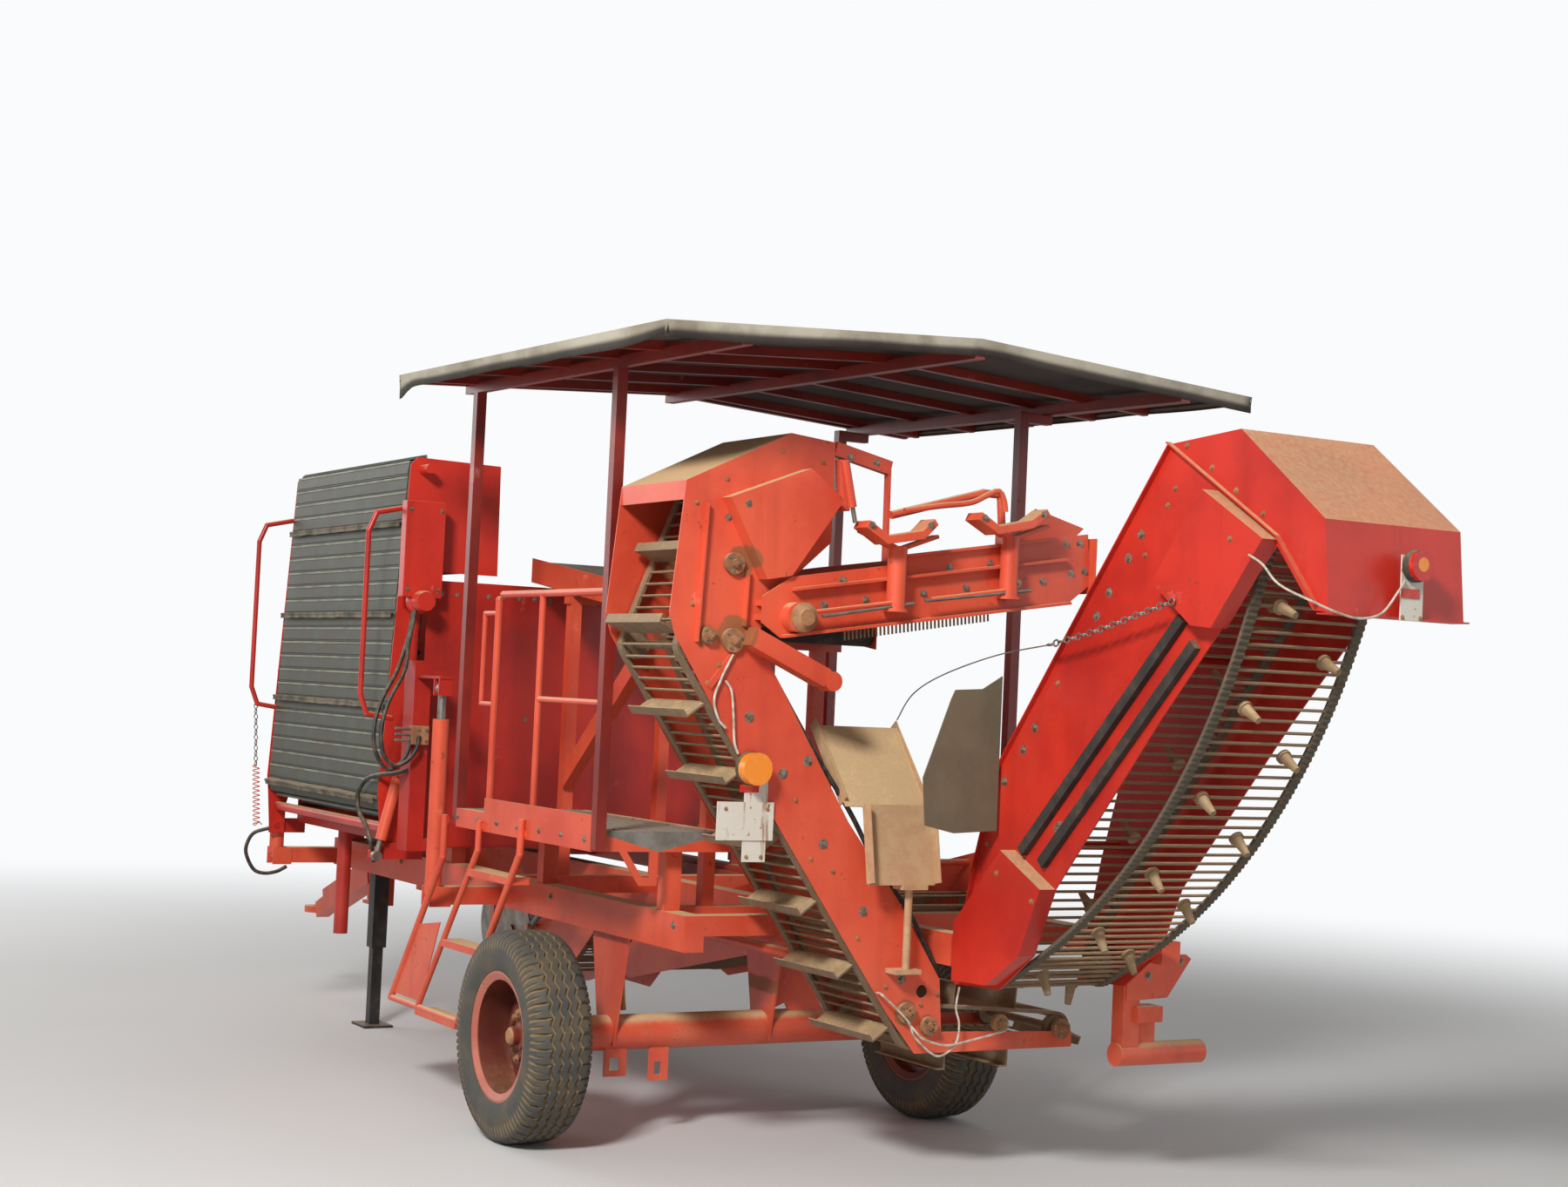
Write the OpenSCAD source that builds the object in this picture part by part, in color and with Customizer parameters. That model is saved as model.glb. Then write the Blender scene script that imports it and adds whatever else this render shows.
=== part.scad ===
// Trailed one row potato digger with picking platform and unloading bunker.
// Model space before placing: X forward from the axle, Y to the left, Z up from the ground.

/* [Wheels] */
// outside diameter of the tyres over the tread ribs
tyre_d = 965; // [900:5:1000]
// width of a tyre across its side walls
tyre_w = 300; // [260:5:320]
// distance between the two wheel centres
track = 2252; // [2230:2:2300]
// diameter of the rim flange
rim_d = 590; // [560:5:620]
// outside diameter of the axle tube
axle_d = 165; // [140:5:180]

/* [Platform and ladder] */
// height of the platform floor above the ground
floor_z = 1470; // [1440:5:1500]
// distance of the platform edge from the middle
side_y = 1150; // [1140:5:1170]
// rear end of the platform behind the axle
floor_rear = 660; // [640:5:670]
// front end of the platform ahead of the axle
floor_front = 860; // [840:5:880]
// height of the top guard rail above the floor
rail_h = 1050; // [1000:10:1080]
// outside diameter of the rail and ladder tubes
tube_d = 34; // [30:1:38]

/* [Canopy] */
// height of the canopy at its side edges
roof_z = 3555; // [3540:5:3600]
// rise of the canopy ridge above the side edges
roof_rise = 95; // [80:5:120]
// overall width of the canopy
roof_w = 3000; // [2960:10:3040]
// rear edge of the canopy behind the axle
roof_rear = 1830; // [1800:10:1860]
// front edge of the canopy ahead of the axle
roof_front = 1030; // [1000:10:1060]
// thickness of the canopy sheet
roof_t = 12; // [8:1:16]
// depth of the canopy hem on its rear and left edges
hem_h = 75; // [50:5:90]
// degrees that the canopy rises towards the front
roof_tilt = 0.9; // [0:0.1:1.2]

/* [Cross elevator] */
// outer face of the rear plate behind the axle
cross_rear = 1400; // [1390:5:1410]
// depth of the elevator between the outer faces of its plates
cross_depth = 600; // [580:5:610]
// thickness of the elevator plates
plate_t = 6; // [5:1:8]
// distance between the rods of the elevator webs
rod_pitch = 54; // [50:1:60]
// diameter of the web rods
rod_d = 12; // [10:1:14]
// height of a flight on the cross web
flight_h = 105; // [90:5:110]
// number of rods from one flight to the next
flight_step = 6; // [5:1:8]

/* [Haulm elevator] */
// left face of the haulm elevator to the right of the middle
haulm_y = 280; // [270:5:290]
// width of the haulm elevator over its side plates
haulm_w = 680; // [670:5:685]
// length of the rubber pegs on the haulm web
peg_l = 95; // [80:5:110]

/* [Belt separator] */
// rear face of the separator frame behind the axle
sep_rear = 1500; // [1490:5:1510]
// height of the separator frame
sep_h = 330; // [310:5:340]
// diameter of the two upright posts of the separator
post_d = 84; // [76:2:90]

/* [Bunker] */
// rear wall of the bunker ahead of the axle
bunker_rear = 1760; // [1750:5:1770]
// length of the bunker along the machine
bunker_l = 1900; // [1880:10:1920]
// height of the fixed bunker walls above the ground
bunker_z = 2620; // [2600:10:2640]
// height of the top of the folded unloading belt
belt_top = 3270; // [3240:10:3290]
// distance between the slats of the unloading belt
slat_pitch = 88; // [80:2:96]

/* [Drawbar and digging unit] */
// centre of the tow eye ahead of the axle
eye_x = 4850; // [4800:10:4900]
// height of the tow eye
eye_z = 560; // [520:10:600]
// bore of the tow eye
eye_bore = 50; // [40:1:51]
// distance of the drawbar to the left of the middle
drawbar_y = 430; // [420:5:440]
// diameter of the two disc coulters
coulter_d = 560; // [540:10:580]
// width of the digging channel inside its plates
channel_w = 620; // [610:5:625]

/* [Hidden] */
$fn = 48;
front_x = eye_x + 75;
rear_x = -3690;
mid_x = (front_x + rear_x) / 2;
wheel_y = track / 2;
wheel_z = tyre_d / 2;
chan_r = tyre_w / 2 + 40 + plate_t - wheel_y;
chan_l = chan_r + channel_w;
chan_y = (chan_l + chan_r) / 2;
cross_front = cross_rear - cross_depth;
beam_t = 1110;
mid_y = chan_l + 120;
right_y = min(chan_r - 130, -haulm_y - haulm_w - 100);
left_y = 640;
tr = tube_d / 2;
dig_p = [1760, 1020];
bunk_p = [right_y + 40, 1160];
bunker_f = bunker_rear + bunker_l;
post_x = bunker_f + 130;
fold_p = [1130, 1180];
fold_top = [1120, 1580];
fold_low = [1220, 1160];
lift_x = [1240, bunker_f + 60];
lift_low = [1098, 1000];
lift_top = [1100, 2050];
dig_top = [2450, 1030];
dig_low = [3000, 640];
unload_a = bunker_rear + 40;
unload_b = bunker_f - 20;
disc_p = [3330, 560];
roller_p = [3695, 590];
red = [0.80, 0.22, 0.13];
dark = [0.25, 0.25, 0.25];
dust = [0.70, 0.58, 0.42];
steel = [0.45, 0.40, 0.35];

// moves the machine so that the middle of its plan lies on the origin
module place() {
  translate([-mid_x, 0, 0]) children();
}

// round bar from point a to point b
module rod(a, b, r, n = 20) {
  v = b - a;
  l = norm(v);
  translate(a) rotate([0, acos(v[2] / l), atan2(v[1], v[0])]) cylinder(h = l, r = r, $fn = n);
}

// bent tube through the points
module pipe(p, r, n = 20) {
  for (i = [0 : len(p) - 2]) rod(p[i], p[i + 1], r, n);
  if (len(p) > 2) for (i = [1 : len(p) - 2]) translate(p[i]) sphere(r = r + 0.6, $fn = 24);
}

// box beam from point a to point b, w across the vertical plane of the beam and h within it
module beam(a, b, w, h) {
  v = b - a;
  l = norm(v);
  translate(a) rotate([0, acos(v[2] / l), atan2(v[1], v[0])]) translate([-h / 2, -w / 2, 0]) cube([h, w, l]);
}

// plate drawn in y and z, from x forward by t
module plate_x(p, x, t) {
  translate([x, 0, 0]) rotate([90, 0, 90]) linear_extrude(height = t) polygon(p);
}

// plate drawn in x and z, from y to the left by t
module plate_y(p, y, t) {
  translate([0, y + t, 0]) rotate([90, 0, 0]) linear_extrude(height = t) polygon(p);
}

// closed belt line round pulleys, each [u, v, signed radius]
function heading(a, b) = atan2(b[1] - a[1], b[0] - a[0]) + asin((a[2] - b[2]) / norm([b[0] - a[0],
    b[1] - a[1]]));
function turn(a, b) = (b - a) - 360 * floor((b - a) / 360);
function arc_at(c, a, b) =
  let (s = c[2] > 0 ? turn(a, b) : -turn(b, a), k = max(1, ceil(abs(s) / 20)))
  [for (i = [0 : k]) [c[0] + c[2] * sin(a + s * i / k), c[1] - c[2] * cos(a + s * i / k)]];
function belt_line(c) = [for (i = [0 : len(c) - 1])
  let (m = len(c)) each arc_at(c[i], heading(c[(i + m - 1) % m], c[i]), heading(c[i], c[(i + 1) % m]))];
function tight(p) = [for (i = [0 : len(p) - 1]) if (norm(p[i] - p[(i + 1) % len(p)]) > 1) p[i]];
function unit(v) = v / norm(v);
function side(p, i, d) =
  let (m = len(p), a = unit(p[i] - p[(i + m - 1) % m]), b = unit(p[(i + 1) % m] - p[i]),
      n = unit([a[1] + b[1], -a[0] - b[0]]))
  p[i] + n * d / max(0.5, n[0] * a[1] - n[1] * a[0]);
function widened(p, d) = [for (i = [0 : len(p) - 1]) side(p, i, d)];
function edge_n(p, i) = let (a = unit(p[min(i + 1, len(p) - 1)] - p[max(i - 1, 0)])) [a[1], -a[0]];
function ribbon(p, d) = concat(p, [for (i = [len(p) - 1 : -1 : 0]) p[i] + edge_n(p, i) * d]);
function steps(p) = [for (i = 0, s = 0; i < len(p); s = s + norm(p[(i + 1) % len(p)] - p[i]), i = i + 1) s];

// belt ring of thickness t along a closed line, from w0 up by w
module belt_ring(p, t, w0, w) {
  translate([0, 0, w0]) linear_extrude(height = w) difference() {
    polygon(widened(p, t / 2));
    polygon(widened(p, -t / 2));
  }
}

// children set square on the line every pitch, each every th one from first
module along(p, pitch, every = 1, first = 0, group = 1) {
  s = steps(p);
  m = len(p);
  total = s[m - 1] + norm(p[0] - p[m - 1]);
  count = floor(total / pitch / every / group) * every * group;
  gap = total / count;
  for (i = [0 : m - 1]) {
    q = p[(i + 1) % m] - p[i];
    e = i == m - 1 ? total : s[i + 1];
    for (k = [ceil(s[i] / gap) : 1 : ceil(e / gap) - 1])
      if (k % every == first)
        translate(concat(p[i] + unit(q) * (k * gap - s[i]), [0])) rotate(atan2(q[1], q[0])) children();
  }
}

// rod web on two side belts, drawn flat with its width along z
module web(p, w, group = 1, belt_w = 45, belt_t = 14) {
  belt_ring(p, belt_t, 0, belt_w);
  belt_ring(p, belt_t, w - belt_w, belt_w);
  along(p, rod_pitch, 1, 0, group) translate([0, 0, belt_w - 5]) cylinder(h = w - 2 * belt_w + 10,
      d = rod_d, $fn = 12);
}

// wheel parts turned about the y axis at the wheel centre
module at_wheel(s) {
  translate([0, s * wheel_y, wheel_z]) rotate([-90 * s, 0, 0]) children();
}

module tyre_shape() {
  r = tyre_d / 2;
  w = tyre_w / 2;
  b = rim_d / 2;
  half = [[b - 19.7, w * 0.7], [b + 3.3, w * 0.77], [b + 3.3, w * 0.88], [b + 22, w * 0.94], [b + 77, w],
      [r - 60, w * 0.97],
    [r - 22, w * 0.84], [r - 4, w * 0.66], [r, w * 0.3]];
  rotate_extrude($fn = 96) difference() {
    polygon(concat(half, [for (i = [len(half) - 1 : -1 : 0]) [half[i][0], -half[i][1]]]));
    for (y = [-0.45, -0.15, 0.15, 0.45]) translate([r - 12, w * y - 4]) square([20, 8]);
  }
}

module rim_shape() {
  b = rim_d / 2;
  w = tyre_w / 2;
  difference() {
    rotate_extrude($fn = 72) union() {
      polygon([[b - 34, -w * 0.71], [b - 20, -w * 0.71], [b - 20, w * 0.71], [b - 34, w * 0.71]]);
      polygon([[b - 34, w * 0.71], [b - 20, w * 0.71], [b, w * 0.78], [b + 3, w * 0.86], [b - 8, w * 0.86],
          [b - 38, w * 0.76]]);
      polygon([[b - 34, -w * 0.71], [b - 20, -w * 0.71], [b, -w * 0.78], [b + 3, -w * 0.86], [b - 8,
          -w * 0.86], [b - 38, -w * 0.76]]);
      polygon([[60, -10], [150, -10], [b - 60, -55], [b - 30, -60], [b - 30, -46], [b - 60, -40], [150, 4],
          [60, 4]]);
      polygon([[0, -10], [62, -10], [62, 22], [44, 30], [44, 60], [32, 72], [0, 72]]);
      polygon([[38, -112], [66, -112], [66, -8], [38, -8]]);
    }
    for (a = [0 : 5]) rotate(a * 60) translate([190, 0, -80]) cylinder(h = 100, d = 36);
  }
  for (a = [0 : 5]) rotate(a * 60 + 30) translate([102, 0, 0]) cylinder(h = 22, d = 30, $fn = 6);
}

module tyre_left() color(dark) place() at_wheel(1) tyre_shape();
module tyre_right() color(dark) place() at_wheel(-1) tyre_shape();
module wheel_left() color(red) place() at_wheel(1) rim_shape();
module wheel_right() color(red) place() at_wheel(-1) rim_shape();

// round bar along y from y0 to y1 at x, z
module pin_y(x, z, y0, y1, r, n = 32) {
  translate([x, y1, z]) rotate([90, 0, 0]) cylinder(h = y1 - y0, r = r, $fn = n);
}

// round bar along x from x0 to x1 at y, z
module pin_x(y, z, x0, x1, r, n = 32) {
  translate([x0, y, z]) rotate([0, 90, 0]) cylinder(h = x1 - x0, r = r, $fn = n);
}

module axle() color(red) place() {
  pin_y(0, wheel_z, -wheel_y + 160, wheel_y - 160, axle_d / 2);
  pin_y(0, wheel_z, -wheel_y + 20, wheel_y - 20, 35);
  for (s = [-1, 1]) pin_y(0, wheel_z, s * (wheel_y - 158) - 10, s * (wheel_y - 158) + 10, 115);
  // slotted hooks under the tube, each [right, left, bottom, top]
  for (q = [[609, 723, 283, 430], [388, 488, 256, 425]]) difference() {
    translate([-46, q[0], q[2]]) cube([14, q[1] - q[0], q[3] - q[2]]);
    translate([-50, q[0] + 34, q[2] + 26]) cube([22, q[1] - q[0] - 60, 62]);
  }
  // upright brackets under the frame beams
  m = mid_y + 44;
  for (y = [left_y + 50, m]) plate_y([[-190, 950], [190, 950], [80, 430], [-80, 430]], y, 12);
  plate_y([[-150, 1000], [150, 1000], [80, 430], [-80, 430]], right_y + 94, 12);
  translate([-150, right_y, 998]) cube([300, 106, 12]);
  plate_x([[m, 940], [m - 114, 900], [m - 324, 560], [m - 414, 440], [m - 184, 440], [m - 104, 600], [m,
      560]], -30, 10);
}

module main_frame() color(red) place() {
  difference() {
    union() {
      // long beams, each [y, bottom, rear, front]
      f = bunker_f + 50;
      for (q = [[left_y, 950, -cross_front, f], [mid_y, 950, -cross_front, f], [right_y, 1010, -2000, f]])
        translate([q[2], q[0], q[1]]) cube([q[3] - q[2], 100, beam_t - q[1]]);
      // cross beams, each [rear, right end]
      for (q = [[-cross_front, right_y], [-420, mid_y], [1150, right_y], [f - 90, right_y]])
        translate([q[0], q[1], 1020]) cube([90, left_y + 100 - q[1], 90]);
      // arm that carries the haulm elevator
      translate([-1500, -haulm_y, 960]) cube([1500 - cross_front, 80, 140]);
      translate([-cross_front, -haulm_y, 960]) cube([90, haulm_y, 140]);
      // rear bumper tube and its stays
      pin_y(-1700, 580, -1445, right_y + 100, 52);
      translate([-1740, right_y, 590]) cube([80, 90, 430]);
      plate_x([[-980, 820], [-1210, 830], [-1340, 1000], [-1310, 1020], [-980, 1020]], -1746, 8);
      translate([-1768, -1170, 726]) cube([100, 140, 70]);
      translate([-1716, -1170, 600]) cube([12, 140, 130]);
      // arms that carry the lift cylinders
      for (x = lift_x) {
        translate([x - 52, left_y, 960]) cube([104, 400, 90]);
        for (s = [-1, 1]) translate([x + s * 52 - 6, 1020, 950]) cube([12, 114, 100]);
      }
      // rests under the bunker
      for (x = [bunker_rear + 140, bunker_f - 210]) translate([x, left_y + 10, beam_t]) cube([120, 80, 94.7]);
      // bunker hinge lugs
      for (x = [bunker_rear + 110, bunker_f - 180]) translate([x, right_y, beam_t]) cube([20, 80, 80]);
      // drawbar bracket
      translate([bunker_f - 20, drawbar_y - 60, 700]) cube([70, 120, 320]);
      for (z = [700, 1090]) translate([bunker_f + 40, drawbar_y - 60, z]) cube([150, 120, 20]);
    }
  }
  for (x = lift_x) pin_x(lift_low[0], lift_low[1], x - 56, x + 56, 12);
  for (x = [bunker_rear + 110, bunker_f - 240]) pin_x(bunk_p[0], bunk_p[1], x, x + 80, 18);
  translate([post_x, drawbar_y, 700]) cylinder(h = 410, r = 24);
  // pins of the digging unit
  pin_y(dig_p[0], dig_p[1], chan_l - 12, mid_y, 22);
  pin_y(dig_p[0], dig_p[1], right_y + 100, chan_r + 12, 22);
  pin_y(dig_top[0], dig_top[1], chan_l + 20, mid_y, 14);
}

module drawbar() color(red) place() difference() {
  union() {
    translate([post_x, drawbar_y, 728]) cylinder(h = 354, r = 52);
    beam([post_x + 10, drawbar_y, 900], [eye_x - 290, drawbar_y, eye_z + 80], 120, 150);
    beam([eye_x - 350, drawbar_y, eye_z + 95], [eye_x - 110, drawbar_y, eye_z + 5], 84, 100);
    translate([eye_x, drawbar_y, eye_z - 20]) cylinder(h = 40, r = 75);
    translate([eye_x - 150, drawbar_y - 35, eye_z - 20]) cube([150, 70, 40]);
  }
  translate([post_x, drawbar_y, 600]) cylinder(h = 600, r = 25.5);
  translate([eye_x, drawbar_y, eye_z - 30]) cylinder(h = 60, d = eye_bore);
}

module jack_tube() color(dark) place() {
  translate([bunker_f - 160, left_y - 120, 0]) {
    difference() {
      translate([-45, -45, 470]) cube([90, 90, 680]);
      translate([-38, -38, 460]) cube([76, 76, 650]);
    }
    translate([-45, 45, 980]) cube([90, 75, 100]);
  }
}

module jack_leg() color(dark) place() {
  translate([bunker_f - 160, left_y - 120, 0]) {
    translate([-32, -32, 10]) cube([64, 64, 720]);
    translate([-110, -90, 0]) cube([220, 180, 14]);
  }
}

module platform() color(red) place() {
  z = floor_z;
  l = floor_front + floor_rear;
  translate([-floor_rear, side_y - 60, z - 90]) cube([l, 60, 90]);
  translate([-floor_rear, 440, z - 90]) cube([l, 60, 90]);
  for (x = [-floor_rear, -80, floor_front - 60]) translate([x, 440, z - 90]) cube([60, side_y - 440, 90]);
  for (y = [505 : 98 : side_y - 150]) translate([-floor_rear + 10, y, z - 32]) cube([l - 20, 88, 32]);
  translate([-floor_rear, side_y - 8, z]) cube([l - 340, 8, 70]);
  for (x = [-floor_rear + 80, floor_front - 140]) translate([x, left_y + 10, beam_t]) cube([70, 80,
      z - 31 - beam_t]);
  // bracket loop under the rear corner
  plate_x([[1010, z - 85], [972, z - 85], [888, z - 205], [850, z - 205], [850, z - 85], [815, z - 85],
      [815, z - 240], [903, z - 240]], -floor_rear, 8);
}

module guard_rails() color(red) place() {
  y = side_y - 30;
  t = floor_z + rail_h;
  pipe([[530, y, floor_z], [530, y, t - 25], [480, y, t], [-floor_rear, y, t]], tr);
  rod([25, y, floor_z], [25, y, t], tr - 2);
  rod([25, y, floor_z + 560], [-floor_rear, y, floor_z + 560], tr - 4);
  pipe([[530, y, floor_z + 960], [690, y, floor_z + 960], [690, y, floor_z + 520], [530, y,
      floor_z + 520]], 12);
}

module ladder() color(red) place() {
  y = side_y + tr;
  b = 450;
  pipe([[960, y, floor_z - 40], [960, y, 1220], [1560, y, b], [670, y, b], [40, y, 1310], [40, y,
      floor_z]], tr);
  pipe([[530, y, floor_z - 40], [530, y, 1290], [1190, y, b]], tr - 2);
  for (x = [960, 530, 40]) translate([x - 12, side_y, floor_z - 80]) cube([24, tr, 30]);
  // treads, each [height, rear end, front end]
  for (q = [[1190, 130, 609], [820, 400, 901], [b - 6, 672, 1190]]) translate([q[1], y - 95,
      q[0] - 30]) cube([q[2] - q[1], 110, 34]);
  plate_y([[1240, 860], [950, 900], [1160, 480], [1535, 480]], y - 3, 5);
}

function roof_at(y) = roof_z + roof_rise * (1 - abs(y) / (roof_w / 2));

module gable(d, t, x, l, w) {
  plate_x([[w, roof_at(w) - d - t], [w, roof_at(w) - d], [0, roof_at(0) - d], [-w, roof_at(w) - d], [-w,
      roof_at(w) - d - t], [0, roof_at(0) - d - t]], x, l);
}

// turns the canopy up towards the front about its rear edge
module tilted() {
  translate([-roof_rear, 0, roof_z]) rotate([0, -roof_tilt, 0]) translate([roof_rear, 0, -roof_z]) children();
}

module canopy() color(dust) place() tilted() {
  w = roof_w / 2;
  gable(0, roof_t, -roof_rear, roof_rear + roof_front, w);
  gable(roof_t, hem_h, -roof_rear, 10, w);
  gable(roof_t, 40, roof_front - 10, 10, w);
  // side hems, each [right face, depth]
  for (q = [[w - 10, hem_h], [-w, 40]])
    translate([-roof_rear, q[0], roof_z - roof_t - q[1]]) cube([roof_rear + roof_front, 10, q[1] + 2]);
}

module canopy_frame() color(red) place() {
  l = roof_rear + roof_front;
  w = roof_w / 2 - 20;
  tilted() {
    for (x = [-roof_rear + 12, -1120, -710, -200, 330, 860, roof_front - 52]) gable(roof_t + 0.3, 40, x,
        40, w);
    for (y = [side_y - 50, -side_y, -25]) let (a = roof_at(y) - roof_t, b = roof_at(y + 50) - roof_t)
      plate_x([[y, a - 80], [y + 50, b - 80], [y + 50, b - 30], [y, a - 30]], -roof_rear + 12, l - 24);
    for (x = [-cross_front, floor_front]) translate([x, -side_y, roof_z - 110]) cube([50,
        right_y + 100 + side_y, 50]);
  }
  // posts, each [x, y, foot]
  for (q = [[-floor_rear - 50, side_y - 50, floor_z - 80], [floor_front, side_y - 50, floor_z - 80],
      [-cross_front, right_y + 50, beam_t], [floor_front, right_y + 50, beam_t]])
    translate([q[0], q[1], q[2]]) cube([50, 50,
        roof_z - roof_t - 45 - q[2] + (q[0] + roof_rear) * tan(roof_tilt)]);
}

cross_outline = [[-950, 570], [-100, 570], [50, 745], [300, 1085], [630, 1540], [890, 1910], [1170, 2330],
    [1200, 2420], [1150, 2970],
  [660, 3210], [440, 3190], [440, 2760], [730, 2500], [780, 2330], [290, 1570], [30, 1250], [-215, 890],
      [-235, 660], [-950, 640]];
cross_line = tight(belt_line([[-880, 655, 65], [-95, 655, 65], [1070, 2290, 70], [790, 2930, 95], [880,
    2330, -50], [-20, 905, -120]]));

guard_outline = [[672, 2602], [790, 2580], [980, 2910], [600, 3060], [430, 2940]];

module cross_casing() color(red) place() {
  difference() {
    plate_x(cross_outline, -cross_rear, plate_t);
    pin_x(-124, 839, -cross_rear - 5, -cross_rear + plate_t + 5, 28);
  }
  plate_x(cross_outline, -cross_front - plate_t, plate_t);
  // ribs and strap on the rear plate, each [y, z, y, z, width, standing out]
  for (q = [[1053, 2882, 1076, 2306, 8, 28], [848, 2615, 856, 2381, 8, 28], [811, 2371, 1004, 2120, 26, 8]])
    beam([-cross_rear - q[5] / 2 + 1, q[0], q[1]], [-cross_rear - q[5] / 2 + 1, q[2], q[3]], q[5] + 2, q[4]);
  // hood over the head of the elevator
  plate_x([[1150, 2970], [660, 3210], [440, 3190], [440, 3184], [659, 3204], [1150, 2962]], -cross_rear,
      cross_depth);
  translate([-cross_rear, 1144, 2890]) cube([cross_depth, 6, 76]);
  // hollow guard over the drive chain
  translate([-cross_rear - 80, 0, 0]) rotate([90, 0, 90]) difference() {
    linear_extrude(height = 80) polygon(guard_outline);
    translate([0, 0, 4]) linear_extrude(height = 90) polygon(widened(guard_outline, -4));
  }
  // bearing plates on the outline of the rear plate, each [y, z, radius]
  for (q = [[915, 2640, 45], [1020, 2335, 35], [905, 2320, 50], [-40, 750, 45], [-160, 690, 40], [-540,
      690, 40], [-880, 655, 45]])
    pin_x(q[0], q[1], -cross_rear - 24, -cross_rear + 3, q[2]);
  // box arm beside the head
  translate([-cross_rear - 90, 0, 0]) beam([45, 850, 2340], [45, 480, 2180], 90, 80);
  pin_x(450, 2168, -cross_rear - 90, -cross_rear, 42);
}

module cross_flight(w) {
  translate([-4, -flight_h, 0]) cube([8, flight_h, w]);
  translate([-4, -flight_h, 0]) cube([40, 6, w]);
}

module cross_web() color(steel) place() {
  w = cross_depth - 2 * plate_t;
  translate([-cross_rear + plate_t, 0, 0]) rotate([90, 0, 90]) {
    translate([0, 0, 16]) web(cross_line, w - 32, flight_step);
    along(cross_line, rod_pitch, flight_step, 2) translate([0, 0, 40]) cross_flight(w - 80);
    for (q = [[-880, 655, 54], [-95, 655, 54], [1070, 2290, 59], [790, 2930, 84]]) translate([q[0], q[1],
        0]) {
      cylinder(h = w, r = 18);
      for (z = [22, w - 52]) translate([0, 0, z]) cylinder(h = 30, r = q[2] + 4);
    }
  }
}

sep_low = [[705, 2340], [-780, 2565]];
module separator_frame() color(red) place() {
  r = -sep_rear;
  plate_x([[705, 2340], [800, 2400], [800, 2510], [660, 2600], [110, 2690], [110, 2730], [-690, 2860],
      [-885, 2890], [-905, 2660], [-780, 2565]], r + 40, plate_t);
  plate_x([[705, 2340], [705, 2590], [110, 2690], [-885, 2840], [-905, 2660], [-780, 2565]], -760, plate_t);
  // flanges of the rear panel
  plate_x([[705, 2340], [705, 2352], [-775, 2577], [-780, 2565]], r, 46);
  plate_x([[660, 2540], [660, 2552], [-750, 2772], [-750, 2760]], r, 46);
  plate_x([[110, 2718], [110, 2730], [-690, 2860], [-690, 2848]], r + 10, 36);
  // end plate and its bracket on the roof post
  translate([r, -908, 2620]) cube([-754 - r, 9, 250]);
  translate([-cross_front, right_y + 100, 2650]) cube([46, -905 - right_y - 100 + 2, 70]);
  // drive pulley and pads on the elevator plate
  pin_x(650, 2430, r - 25, r + 46, 62);
  for (q = [[765, 2410], [760, 2470]]) translate([r + 46, q[0], q[1]]) cube([sep_rear - cross_rear - 46,
      34, 26]);
  // upright posts with their forked heads
  for (y = [170, -420]) {
    z = 2490 + (170 - y) * 0.15;
    translate([r - 8, y, z]) cylinder(h = sep_h - 60, d = post_d);
    translate([r - 8, y, z - 12]) cylinder(h = 14, d = post_d + 24);
    for (s = [-1, 1]) beam([r - 8, y, z + sep_h - 75], [r - 8, y + s * 190, z + sep_h - 5], 60, 16);
    rod([r - 26, y, z + 30], [r - 26, y + 420, z - 36], 9);
  }
  // arm, flat bar and bent tube over the belt
  beam([-cross_rear + 20, 433.6, 3165], [-cross_rear + 20, 150, 3105], 40, 60);
  beam([-cross_rear + 20, 156, 3130], [-cross_rear + 20, 151, 2700], 34, 14);
  pipe([[-cross_rear - 12, 150, 2900], [-cross_rear - 12, -330, 3035], [-cross_rear - 12, -425, 3035],
      [-cross_rear - 12, -440, 2870]], 18);
  translate([r + 40, -462, 2790]) cube([66, 44, 84]);
  rod([-cross_rear + 10, 400, 3120], [-cross_rear + 10, 380, 2900], 28);
  // wedge cover at the far end
  plate_x([[-600, 2840], [-710, 3000], [-990, 2930], [-900, 2850]], -1290, 5);
}

module separator_belt() color(dark) place() {
  w = sep_rear - 46 - 760;
  translate([-sep_rear + 46, 0, 0]) rotate([90, 0, 90]) {
    p = tight(belt_line([[-800, 2683.5, 55], [640, 2450, 55]]));
    translate([0, 0, 20]) belt_ring(p, 10, 0, w - 40);
    along(p, 45) translate([-4, -30, 30]) cube([8, 30, w - 60]);
    for (q = [[-800, 2683.5], [640, 2450]]) translate([q[0], q[1], 0]) {
      cylinder(h = w, r = 16);
      translate([0, 0, 20]) cylinder(h = w - 40, r = 48.9);
    }
  }
}

module chutes() color(dust) place() {
  x = -cross_rear - 40;
  beam([-1170, 125, 1975], [x, 125, 1640], 420, 5);
  for (y = [-85, 332]) beam([-1140, y, 1990], [x + 20, y, 1660], 5, 60);
  beam([x - 2, 70, 1650], [x - 60, 70, 1310], 340, 5);
  for (y = [-100, 240]) beam([x - 20, y, 1650], [x - 80, y, 1320], 5, 60);
  translate([x - 70, -60, 1290]) cube([80, 130, 22]);
  translate([x - 20, 5, 940]) cylinder(h = 360, r = 17);
  translate([x - 45, -60, 925]) cube([85, 130, 20]);
}

module rubber_flap() color(dark) place() {
  y = 24.3 - haulm_y;
  plate_x([[y, 1562], [-35, 1550], [113, 1581], [132, 1782], [5, 2116], [-15, 2157], [-156, 2166], [y,
      2225]], -1722, 6);
}

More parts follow.
